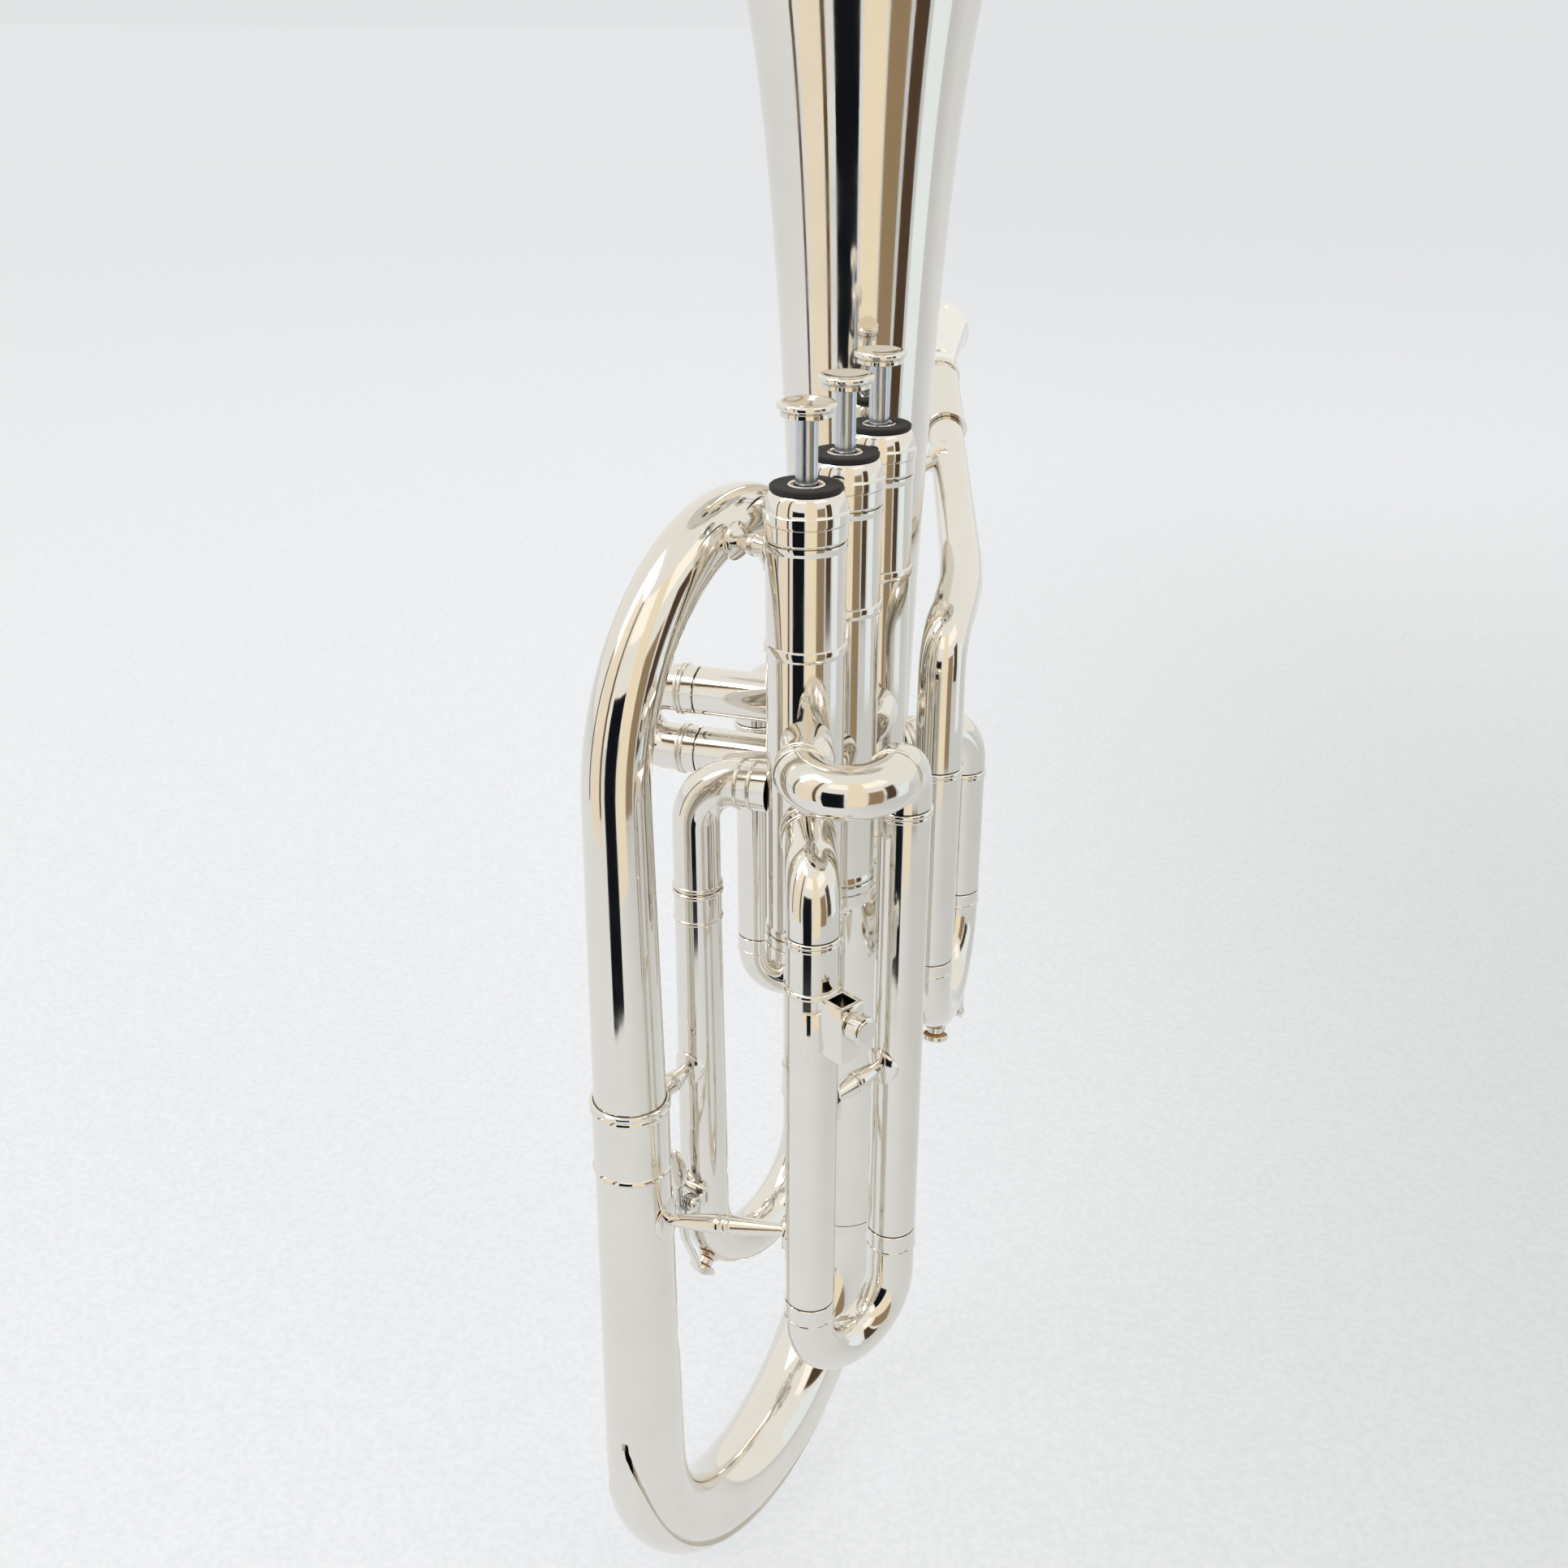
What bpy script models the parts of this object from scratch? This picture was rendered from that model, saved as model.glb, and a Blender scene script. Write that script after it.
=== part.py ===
"""Alto horn with three pistons, bell up.

The origin is on the middle valve's axis, where the hand holds the casings. +Z runs up through
the bell, +Y runs along the valves towards the mouthpiece, and +X is the leadpipe's side.
"""

import math

import bmesh
import bpy
from mathutils import Matrix, Vector

MM = 0.001
UP = Vector((0, 0, 1))
DOWN = Vector((0, 0, -1))
RIGHT = Vector((1, 0, 0))
LEFT = Vector((-1, 0, 0))

# Air between pieces that are soldered, screwed or pressed together
SEAT_GAP = 0.3 * MM
MERGE_DISTANCE = 0.01 * MM

# How finely round things are faceted
TUBE_SIDES = 12
LARGE_TUBE_SIDES = 16
VALVE_SIDES = 16
BELL_SIDES = 36
PIN_SIDES = 8
BEND_STEP = math.radians(30)
LEAST_TURN = math.radians(1)

# Valves
VALVE_PITCH = 35 * MM
PISTON_RADIUS = 8.7 * MM
PISTON_CLEARANCE = 0.3 * MM
CASING_RADIUS = 10.4 * MM
CASING_TOP = 56 * MM
CASING_BOTTOM = -56 * MM
THREAD_LENGTH = 5 * MM
THREAD_DEPTH = 0.8 * MM
CASING_BEAD_HEIGHT = 27.4 * MM
BEAD_HALF_WIDTH = 1.2 * MM
BEAD_RISE = 0.5 * MM
CAP_RADIUS = 11.4 * MM
CAP_TOP = 69 * MM
CAP_FACE_RADIUS = 9.6 * MM
CAP_BEAD_DROP = 6.5 * MM
CAP_BEAD_HALF_WIDTH = 1 * MM
BOTTOM_CAP_DEPTH = 9 * MM
BOTTOM_CAP_EDGE = 1 * MM
BOTTOM_CAP_KNURL_FOOT = 2 * MM
BOTTOM_CAP_CHAMFER = 0.6 * MM
BOTTOM_NIPPLE_LENGTH = 5 * MM
BOTTOM_NIPPLE_RADIUS = 4.2 * MM
BOTTOM_NIPPLE_FLARE = 2 * MM
BOTTOM_HOLE_RADIUS = 2 * MM
FELT_THICKNESS = 1.3 * MM
STROKE = 15.5 * MM
STEM_RADIUS = 2.9 * MM
STEM_CLEARANCE = 0.5 * MM
BUTTON_RADIUS = 7.8 * MM
BUTTON_HEIGHT = 5 * MM
BUTTON_DISH = 1.2 * MM
BUTTON_DISH_MIDDLE = (0.55, 0.7)
BUTTON_RIM_SHARE = 0.87
BUTTON_RIM_DROP = 1.6 * MM
BUTTON_NECK_SHARE = 0.9
BUTTON_NECK_DROP = 2.7 * MM
BUTTON_FOOT_RISE = 0.9 * MM
BUTTON_FOOT_SHARE = 0.75
PISTON_BOTTOM = -45 * MM
PISTON_SHOULDER = 24 * MM
BARREL_RADIUS = 7.6 * MM
BARREL_WALL = 1.4 * MM
BARREL_LID = 2 * MM
BARREL_FLOOR = 1 * MM
GUIDE_THICKNESS = 3 * MM
GUIDE_LIFT = 2 * MM
GUIDE_KEY_WIDTH = 3 * MM
GUIDE_CLEARANCE = 0.4 * MM
GUIDE_SEAT = 0.6 * MM
GUIDE_STEP = 0.2 * MM
PORT_RADIUS = 5.4 * MM
PASSAGE_RADIUS = 4.8 * MM
PORT_REACH = 2 * MM
SPRING_WIRE_RADIUS = 0.45 * MM
SPRING_SIDE_ROOM = 1.2 * MM
SPRING_TURNS = 5
SPRING_POINTS_PER_TURN = 8

# Slides and small tubing
SLEEVE_RADIUS = 7 * MM
SLEEVE_WALL = 0.6 * MM
INNER_TUBE_RADIUS = 6 * MM
RING_RISE = 0.5 * MM
RING_WIDTH = 2 * MM
BOW_FERRULE_RADIUS = 7.2 * MM
BOW_RADIUS = 6.9 * MM
STEP_LENGTH = 0.05 * MM
ELBOW_BEND = 10 * MM

# Third valve slide, in front of the valves
THIRD_RIGHT_LEG = Vector((30, -44, 0)) * MM
THIRD_LEFT_LEG = Vector((14, -73, 0)) * MM
THIRD_UPPER_PORT = 3.5 * MM
THIRD_LOWER_PORT = -20 * MM
THIRD_CROOK_BEND = 13 * MM
THIRD_CROOK_FRONT = -70 * MM
THIRD_CROOK_LEAD = 3 * MM
THIRD_RIGHT_TOP = -10 * MM
THIRD_LEFT_TOP = -35 * MM
THIRD_SLEEVE_ENDS = (-152.5 * MM, -145.5 * MM)
THIRD_FERRULE_LENGTH = 6.5 * MM
THIRD_BOW_BOTTOM = -178.5 * MM
THIRD_INNER_LENGTH = 75 * MM

# Second valve slide, level, on the left
SECOND_UPPER_PORT = -3.5 * MM
SECOND_LOWER_PORT = -22.5 * MM
SECOND_SLEEVE_END = -42.8 * MM
SECOND_FERRULE_LENGTH = 6 * MM
SECOND_BOW_END = -62.5 * MM
SECOND_INNER_LENGTH = 25 * MM

# First valve slide, upright, on the left
FIRST_FAR_LEG = Vector((-37, 35, 0)) * MM
FIRST_NEAR_LEG = Vector((-18.5, 38.5, 0)) * MM
FIRST_UPPER_PORT = -12 * MM
FIRST_LOWER_PORT = -36 * MM
FIRST_FAR_TOP = -26 * MM
FIRST_NEAR_TOP = -45 * MM
FIRST_NEAR_BEND = 7.2 * MM
FIRST_SLEEVE_END = -102 * MM
FIRST_BOW_BOTTOM = -118 * MM
FIRST_FERRULE_LENGTH = 6 * MM
FIRST_INNER_LENGTH = 45 * MM

# Main tuning slide, on the right
MAIN_LEG_A = Vector((24.5, 20, 0)) * MM
MAIN_LEG_B = Vector((22.7, 67.6, 0)) * MM
MAIN_PORT = -32 * MM
MAIN_ELBOW_BEND = 13 * MM
MAIN_TOP_A = -27 * MM
MAIN_TOP_B = -48 * MM
MAIN_SLEEVE_END = -92 * MM
MAIN_BOW_BOTTOM = -121.5 * MM
MAIN_FERRULE_LENGTH = 5 * MM
MAIN_INNER_LENGTH = 42 * MM

# Knuckles between the casings
KNUCKLE_HEIGHT = -13 * MM
KNUCKLE_RADIUS = 6.5 * MM
KNUCKLE_BULGES = {1: 5 * MM, 2: 1.5 * MM}
KNUCKLE_STEPS = 6

# Leadpipe, receiver and mouthpiece
RECEIVER_INNER_END = Vector((-4, 142, 44)) * MM
MOUTHPIECE_DIRECTION = Vector((-0.29, 0.89, 0.35)).normalized()
LEADPIPE_LEAD = 43.6 * MM
LEADPIPE_SIDE = Vector((23.5, 50, 19.5)) * MM
LEADPIPE_DROP_HEIGHT = 13 * MM
LEADPIPE_DROP_BEND = 14 * MM
LEADPIPE_KNEE_BEND = 45 * MM
LEADPIPE_WALL = 0.6 * MM
LEADPIPE_START_RADIUS = 6 * MM
RECEIVER_LENGTH = 36 * MM
RECEIVER_RADIUS = 7 * MM
RECEIVER_BORE = 4.8 * MM
RECEIVER_MOUTH = 5.9 * MM
RECEIVER_RING = 3 * MM
MOUTHPIECE_SEAT = 24 * MM
MOUTHPIECE_EXPOSED = 30 * MM
MOUTHPIECE_SHANK_CLEARANCE = 0.3 * MM
MOUTHPIECE_RIM_RADIUS = 13.2 * MM
MOUTHPIECE_RIM_BITE = 1 * MM
MOUTHPIECE_CUP_RADIUS = 8.6 * MM
MOUTHPIECE_CUP_DEPTH = 14 * MM
MOUTHPIECE_BORE = 2.3 * MM
MOUTHPIECE_THROAT = 5 * MM
MOUTHPIECE_TIP_WALL = 0.9 * MM
MOUTHPIECE_BOWL = ((0.94, 0.5 * MM), (1.0, 2 * MM), (0.93, 4 * MM), (0.8, 9 * MM),
                   (0.68, 15 * MM), (0.54, 21 * MM), (0.5, 24 * MM), (0.47, 26 * MM))
MOUTHPIECE_CUP = ((0.7, 0.25), (0.95, 0.6), (1.0, 0.9))

# Tubing after the third valve
ELBOW_PORT = -15 * MM
ELBOW_TUBE_BEND = 13 * MM
SECOND_TUBE = Vector((-32, -34, 0)) * MM
SECOND_TUBE_RADIUS = 6.7 * MM
SECOND_TUBE_JOINT = -49 * MM
SECOND_COLLAR_LENGTH = 10 * MM
SMALL_BOW_BOTTOM = -187.5 * MM
RISER = Vector((-14.5, 17.5, 0)) * MM
RISER_BOTTOM = -150 * MM
RISER_TOP = -13 * MM
RISER_RADIUS = 8.1 * MM
BRANCH_WALL = 0.7 * MM
TOP_BOW_HEIGHT = 65 * MM
TOP_BOW_STEPS = 9
BOW_LEAD = 2 * MM
OUTER_BRANCH = Vector((-42.6, -63.9, 0)) * MM
OUTER_BRANCH_TOP_RADIUS = 9.3 * MM
OUTER_BRANCH_END = -115.2 * MM
OUTER_BRANCH_END_RADIUS = 10.6 * MM
FERRULE_LENGTH = 24 * MM
FERRULE_WALL = 0.9 * MM
FERRULE_BEAD_HALF_WIDTH = 1 * MM

# Bottom bow and bell
BELL_AXIS = Vector((-16.4, 71, 0)) * MM
BELL_BOTTOM = -236 * MM
BELL_TOP = 250 * MM
BELL_RIM_RADIUS = 100 * MM
BELL_RIM_WIDTH = 2.4 * MM
BELL_WALL = 0.8 * MM
BELL_FLARE_OFFSET = 5.2 * MM
BELL_FLARE_POWER = 0.415
BELL_RINGS = 12
BOTTOM_BOW_START_RADIUS = 10.8 * MM
BOTTOM_BOW_DEPTH = 64 * MM
BOTTOM_BOW_STEPS = 10
GUARD_THICKNESS = 0.8 * MM
GUARD_CUT_LIFT = 14.5 * MM
GUARD_CUT_SHIFT = 1.2 * MM
GUARD_CUT_SIDES = 48

# Braces
BRACE_FLANGE_RADIUS = 3.4 * MM
BRACE_WAIST_RADIUS = 1.5 * MM
BRACE_BULGE_RADIUS = 2.4 * MM
BRACE_SHAPE = ((1.0, BRACE_FLANGE_RADIUS), (0.86, BRACE_WAIST_RADIUS),
               (0.56, BRACE_BULGE_RADIUS), (0.44, BRACE_BULGE_RADIUS),
               (0.14, BRACE_WAIST_RADIUS), (0.0, BRACE_FLANGE_RADIUS))
BRACE_SINK = 1.5 * MM
SLIDE_BRACE_HEIGHTS = (-90 * MM, -87 * MM)
UPPER_BRANCH_BRACE_HEIGHTS = (-112 * MM, -106 * MM)
LOWER_BRANCH_BRACE_HEIGHTS = (-144.5 * MM, -131 * MM)
TOP_BOW_BRACE_HEIGHT = 49 * MM
BELL_BRACE_SETBACK = 14 * MM

# Lyre box on the third slide's left sleeve
LYRE_TOP = -50 * MM
LYRE_HEIGHT = 16.5 * MM
LYRE_WIDTH = 8 * MM
LYRE_SOCKET = 5.2 * MM
LYRE_TURN = math.radians(-30)
LYRE_ROOT = 3 * MM
LYRE_SCREW_DROP = 5.5 * MM
LYRE_SCREW_RADIUS = 1.5 * MM
LYRE_HEAD_RADIUS = 4.2 * MM
LYRE_HEAD_LENGTH = 5 * MM
LYRE_HEAD_CHAMFER = 0.8 * MM
LYRE_NECK = 1.5 * MM

# Water keys
KEY_STANDOFF = 4.4 * MM
KEY_BARREL_RADIUS = 2 * MM
KEY_BARREL_HALF = 4.8 * MM
KEY_ARM_SEAT = 0.4
KEY_PIN_RADIUS = 0.8 * MM
KEY_PIN_CLEARANCE = 0.3 * MM
KEY_EAR_THICKNESS = 1 * MM
KEY_EAR_WIDTH = 5 * MM
KEY_FOOT_LENGTH = 7 * MM
SADDLE_SINK = 1.2 * MM
KEY_ARM_THICKNESS = 1.4 * MM
KEY_ARM_WIDTH = 3 * MM
KEY_PAD_RADIUS = 4.4 * MM
KEY_PAD_THICKNESS = 2.6 * MM
KEY_NIPPLE_RADIUS = 2.6 * MM
KEY_NIPPLE_HEIGHT = 3 * MM
KEY_NIPPLE_ROOT = 1.2 * MM
KEY_TOUCH_LENGTH = 14 * MM
KEY_ARM_BOW = 2 * MM
KEY_TOUCH_WIDTH = 9 * MM
KEY_TOUCH_THICKNESS = 1.8 * MM
KEY_SPRING_WIRE = 0.3 * MM
KEY_SPRING_TURNS = 2
KEY_SPRING_PITCH = 1.1 * MM
KEY_SPRING_LEG = 6 * MM
SPRING_ROOM = 0.5 * MM
PIN_HEAD = 0.5 * MM
CLEARANCE_STEPS = 16
AXIS_SIZE = 10 * MM
SMALL_KEY_LIFT = 8.5 * MM
SMALL_KEY_PAD_ANGLE = math.radians(-40)
SMALL_KEY_TOUCH = (2.4 * MM, 12 * MM)
MAIN_KEY_ANGLE = math.radians(-75)
MAIN_KEY_PAD_ANGLE = math.radians(-105)
MAIN_KEY_TOUCH = (-2 * MM, 18 * MM)

# The same bore and radii, seen from the pieces that share them
CASING_BORE = PISTON_RADIUS + PISTON_CLEARANCE
THREAD_RADIUS = CASING_RADIUS - THREAD_DEPTH
STEM_HOLE_RADIUS = STEM_RADIUS + STEM_CLEARANCE
CAP_UNDERSIDE = CASING_TOP + THREAD_LENGTH + SEAT_GAP
FELT_TOP = CAP_TOP + FELT_THICKNESS
BUTTON_BOTTOM = FELT_TOP + STROKE + SEAT_GAP
BARREL_TOP = CAP_UNDERSIDE - SEAT_GAP
BARREL_BORE = BARREL_RADIUS - BARREL_WALL
GUIDE_BOTTOM = PISTON_SHOULDER + GUIDE_LIFT
GUIDE_TOP = GUIDE_BOTTOM + GUIDE_THICKNESS
BARREL_CEILING = BARREL_TOP - BARREL_LID
SLEEVE_BORE = SLEEVE_RADIUS - SLEEVE_WALL
VALVE_ONE = Vector((0, VALVE_PITCH, 0))
VALVE_TWO = Vector((0, 0, 0))
VALVE_THREE = Vector((0, -VALVE_PITCH, 0))
VALVES = {1: VALVE_ONE, 2: VALVE_TWO, 3: VALVE_THREE}


# Scene set-up and helpers

def clear_scene():
    for old in list(bpy.data.objects):
        bpy.data.objects.remove(old, do_unlink=True)


def new_collection(name):
    collection = bpy.data.collections.new(name)
    bpy.context.scene.collection.children.link(collection)
    return collection


def make_material(name, color, roughness, metallic=1.0):
    """A plain Principled material with the piece's colour and gloss."""
    material = bpy.data.materials.new(name)
    material.use_nodes = True
    shader = material.node_tree.nodes["Principled BSDF"]
    shader.inputs["Base Color"].default_value = (*color, 1)
    shader.inputs["Roughness"].default_value = roughness
    shader.inputs["Metallic"].default_value = metallic
    material.diffuse_color = (*color, 1)
    return material


def at_height(point, height):
    return Vector((point.x, point.y, height))


def standing(at, along=UP):
    """Matrix that stands a shape's own +Z along a direction at a point."""
    return Matrix.Translation(at) @ along.to_track_quat("Z", "Y").to_matrix().to_4x4()


def add_object(name, data, material, matrix=None):
    piece = bpy.data.objects.new(name, data)
    piece.matrix_world = matrix or Matrix.Identity(4)
    parts.objects.link(piece)
    piece.data.materials.append(material)
    return piece


def make_cutter(piece):
    """Moves a helper shape out of the parts, so that it only cuts or joins."""
    parts.objects.unlink(piece)
    cutters.objects.link(piece)
    piece.hide_render = True
    piece.display_type = "WIRE"
    return piece


def boolean(piece, other, operation):
    modifier = piece.modifiers.new(other.name, "BOOLEAN")
    modifier.object = make_cutter(other) if other.name in parts.objects else other
    modifier.operation = operation
    modifier.solver = "EXACT"
    return piece


def cut(piece, *others):
    for other in others:
        boolean(piece, other, "DIFFERENCE")
    return piece


def join(piece, *others):
    for other in others:
        boolean(piece, other, "UNION")
    return piece


def turned(name, profile, material, matrix=None, sides=TUBE_SIDES):
    """A lathe shape: the profile runs down its outer side, and closes if it misses the axis."""
    mesh = bpy.data.meshes.new(name)
    edges = [(i, i + 1) for i in range(len(profile) - 1)]
    if profile[0][0] > 0:
        edges.append((len(profile) - 1, 0))
    mesh.from_pydata([(radius, 0, height) for radius, height in profile], edges, [])
    piece = add_object(name, mesh, material, matrix)
    screw = piece.modifiers.new("turn", "SCREW")
    screw.steps = screw.render_steps = sides
    screw.use_merge_vertices = True
    screw.merge_threshold = MERGE_DISTANCE
    return piece


def cylinder(name, radius, bottom, top, material, matrix=None, sides=VALVE_SIDES):
    """A plain round bar between two heights of its own axis."""
    mesh = bpy.data.meshes.new(name)
    shape = bmesh.new()
    bmesh.ops.create_cone(shape, cap_ends=True, segments=sides, radius1=radius, radius2=radius,
                          depth=top - bottom,
                          matrix=Matrix.Translation((0, 0, (top + bottom) / 2)))
    shape.to_mesh(mesh)
    shape.free()
    return add_object(name, mesh, material, matrix)


def box(name, size, material, matrix):
    mesh = bpy.data.meshes.new(name)
    shape = bmesh.new()
    bmesh.ops.create_cube(shape, size=1, matrix=Matrix.Diagonal((*size, 1)))
    shape.to_mesh(mesh)
    shape.free()
    return add_object(name, mesh, material, matrix)


def rounded_route(corners, bends):
    """Points along straight runs whose corners turn on the given radii."""
    points = [corners[0]]
    for before, corner, after, radius in zip(corners, corners[1:], corners[2:], bends):
        back = (before - corner).normalized()
        onward = (after - corner).normalized()
        turn = math.pi - back.angle(onward)
        if turn < LEAST_TURN:
            points.append(corner)
            continue
        start = corner + back * radius * math.tan(turn / 2)
        centre = corner + (back + onward).normalized() * radius / math.cos(turn / 2)
        steps = max(2, round(turn / BEND_STEP))
        for k in range(steps + 1):
            angle = turn * k / steps
            points.append(centre + (start - centre) * math.cos(angle)
                          - back * radius * math.sin(angle))
    return points + [corners[-1]]


def tapered(points, first, last):
    """Radii that grow evenly along a route from its first point to its last."""
    lengths = [(b - a).length for a, b in zip(points, points[1:])]
    total = sum(lengths)
    return [first + (last - first) * sum(lengths[:k]) / total for k in range(len(points))]


def tube(name, points, radii, material, sides=TUBE_SIDES, wall=0.0):
    """A swept tube, solid or with a wall; radii is one radius or one for each point."""
    if not isinstance(radii, list):
        radii = [radii] * len(points)
    curve = bpy.data.curves.new(name, "CURVE")
    curve.dimensions = "3D"
    curve.bevel_depth = max(radii)
    curve.bevel_resolution = sides // 2 - 2
    curve.use_fill_caps = wall == 0
    spline = curve.splines.new("POLY")
    spline.points.add(len(points) - 1)
    for knot, point, radius in zip(spline.points, points, radii):
        knot.co = (*point, 1)
        knot.radius = radius / curve.bevel_depth
    piece = add_object(name, curve, material)
    if wall:
        shell = piece.modifiers.new("wall", "SOLIDIFY")
        shell.thickness = wall
        shell.offset = -1
    return piece


def as_mesh(piece):
    """A curve piece as a mesh with its caps welded, so that it can be cut."""
    bpy.context.view_layer.update()
    evaluated = piece.evaluated_get(bpy.context.evaluated_depsgraph_get())
    mesh = bpy.data.meshes.new_from_object(evaluated)
    shape = bmesh.new()
    shape.from_mesh(mesh)
    bmesh.ops.remove_doubles(shape, verts=shape.verts, dist=MERGE_DISTANCE)
    shape.to_mesh(mesh)
    shape.free()
    name, matrix = piece.name, piece.matrix_world.copy()
    bpy.data.objects.remove(piece, do_unlink=True)
    mesh.materials.clear()
    return add_object(name, mesh, nickel, matrix)


def outline(name, loops, thickness, material, matrix=None):
    """Flat plates with the given outlines, as thick as said, centred on their own plane."""
    curve = bpy.data.curves.new(name, "CURVE")
    curve.dimensions = "2D"
    curve.fill_mode = "BOTH"
    curve.extrude = thickness / 2
    for loop in loops:
        spline = curve.splines.new("POLY")
        spline.points.add(len(loop) - 1)
        for knot, point in zip(spline.points, loop):
            knot.co = (*point, 0, 1)
        spline.use_cyclic_u = True
    return add_object(name, curve, material, matrix)


def clearance_bar(name, at, radius, along=UP, reach=30 * MM, sides=24):
    """A cutter that clears a round tube of this radius with the seat gap."""
    clear = (radius + SEAT_GAP) / math.cos(math.pi / sides)
    return cylinder(name, clear, -reach, reach, nickel, standing(at, along), sides)


def seat_on_valve(piece, number, height):
    at = at_height(VALVES[number], height)
    return cut(piece, clearance_bar(f"{piece.name}_seat_{number}", at, CASING_RADIUS))


# Valves

def towards(leg, valve):
    return at_height(leg - valve, 0).normalized()


def knuckle_way(number, along):
    """The level direction in which a knuckle leaves a casing, towards -Y or +Y."""
    return Vector((KNUCKLE_BULGES[number] * math.pi, along * VALVE_PITCH, 0)).normalized()


def crook_start():
    """Where the third valve's crook turns straight to the front."""
    side = THIRD_RIGHT_LEG.x - 2 * THIRD_CROOK_BEND
    return Vector((side, THIRD_CROOK_FRONT + THIRD_CROOK_BEND + THIRD_CROOK_LEAD, 0))


def port_directions():
    """Where each valve's tubes leave it: a direction and a height for each port."""
    return {
        1: [(towards(MAIN_LEG_B, VALVE_ONE), MAIN_PORT),
            (knuckle_way(1, -1), KNUCKLE_HEIGHT),
            (towards(FIRST_FAR_LEG, VALVE_ONE), FIRST_UPPER_PORT),
            (towards(FIRST_NEAR_LEG, VALVE_ONE), FIRST_LOWER_PORT)],
        2: [(knuckle_way(1, 1), KNUCKLE_HEIGHT),
            (knuckle_way(2, -1), KNUCKLE_HEIGHT),
            (LEFT, SECOND_UPPER_PORT),
            (LEFT, SECOND_LOWER_PORT)],
        3: [(knuckle_way(2, 1), KNUCKLE_HEIGHT),
            (towards(SECOND_TUBE, VALVE_THREE), ELBOW_PORT),
            (towards(crook_start(), VALVE_THREE), THIRD_UPPER_PORT),
            (towards(THIRD_LEFT_LEG, VALVE_THREE), THIRD_LOWER_PORT)],
    }


def casing_profile():
    low_thread = CASING_BOTTOM - THREAD_LENGTH
    high_thread = CASING_TOP + THREAD_LENGTH
    bead = CASING_BEAD_HEIGHT
    return [
        (THREAD_RADIUS, high_thread), (THREAD_RADIUS, CASING_TOP), (CASING_RADIUS, CASING_TOP),
        (CASING_RADIUS, bead + BEAD_HALF_WIDTH), (CASING_RADIUS + BEAD_RISE, bead),
        (CASING_RADIUS, bead - BEAD_HALF_WIDTH), (CASING_RADIUS, CASING_BOTTOM),
        (THREAD_RADIUS, CASING_BOTTOM), (THREAD_RADIUS, low_thread),
        (CASING_BORE, low_thread), (CASING_BORE, high_thread),
    ]


def top_cap_profile():
    """A bevelled cap with its felt ring, a knurled bead and a skirt over the thread."""
    bore = THREAD_RADIUS + SEAT_GAP
    bead = CAP_TOP - CAP_BEAD_DROP
    skirt = CAP_RADIUS - SEAT_GAP
    return [
        (CAP_FACE_RADIUS, FELT_TOP), (CAP_FACE_RADIUS, CAP_TOP),
        (CAP_RADIUS, bead + CAP_BEAD_HALF_WIDTH), (CAP_RADIUS, bead - CAP_BEAD_HALF_WIDTH),
        (skirt, CASING_TOP + SEAT_GAP), (bore, CASING_TOP + SEAT_GAP), (bore, CAP_UNDERSIDE),
        (STEM_HOLE_RADIUS, CAP_UNDERSIDE), (STEM_HOLE_RADIUS, FELT_TOP),
    ]


def bottom_cap_profile():
    """A knurled cup under the casing with a drain nipple."""
    bore = THREAD_RADIUS + SEAT_GAP
    top = CASING_BOTTOM - SEAT_GAP
    floor = CASING_BOTTOM - BOTTOM_CAP_DEPTH
    plate = CASING_BOTTOM - THREAD_LENGTH - SEAT_GAP
    nipple = floor - BOTTOM_NIPPLE_LENGTH
    return [
        (CASING_RADIUS, top), (CAP_RADIUS, top - BOTTOM_CAP_EDGE),
        (CAP_RADIUS, floor + BOTTOM_CAP_KNURL_FOOT), (CASING_RADIUS, floor + BOTTOM_CAP_CHAMFER),
        (BOTTOM_NIPPLE_RADIUS + BOTTOM_NIPPLE_FLARE, floor),
        (BOTTOM_NIPPLE_RADIUS, nipple), (BOTTOM_HOLE_RADIUS, nipple),
        (BOTTOM_HOLE_RADIUS, plate), (bore, plate), (bore, top),
    ]


def button_profile():
    """A dished finger button with a knurled lower bead on its stem."""
    low = BUTTON_BOTTOM
    top = low + BUTTON_HEIGHT
    neck = BUTTON_RADIUS * BUTTON_NECK_SHARE
    middle, depth = BUTTON_DISH_MIDDLE
    return [
        (0, top - BUTTON_DISH), (BUTTON_RADIUS * middle, top - BUTTON_DISH * depth),
        (BUTTON_RADIUS * BUTTON_RIM_SHARE, top), (BUTTON_RADIUS, top - BUTTON_RIM_DROP),
        (neck, top - BUTTON_NECK_DROP), (neck, low + BUTTON_FOOT_RISE),
        (BUTTON_RADIUS * BUTTON_FOOT_SHARE, low), (STEM_RADIUS, low),
        (STEM_RADIUS, BARREL_TOP + SEAT_GAP), (0, BARREL_TOP + SEAT_GAP),
    ]


def cut_casing_ports(casing, number):
    for k, (direction, height) in enumerate(port_directions()[number]):
        at = at_height(VALVES[number], height)
        port = cylinder(f"casing_{number}_port_{k}", PORT_RADIUS, CASING_BORE - PORT_REACH,
                        CASING_RADIUS + PORT_REACH, nickel, standing(at, direction), TUBE_SIDES)
        cut(casing, port)


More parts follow.
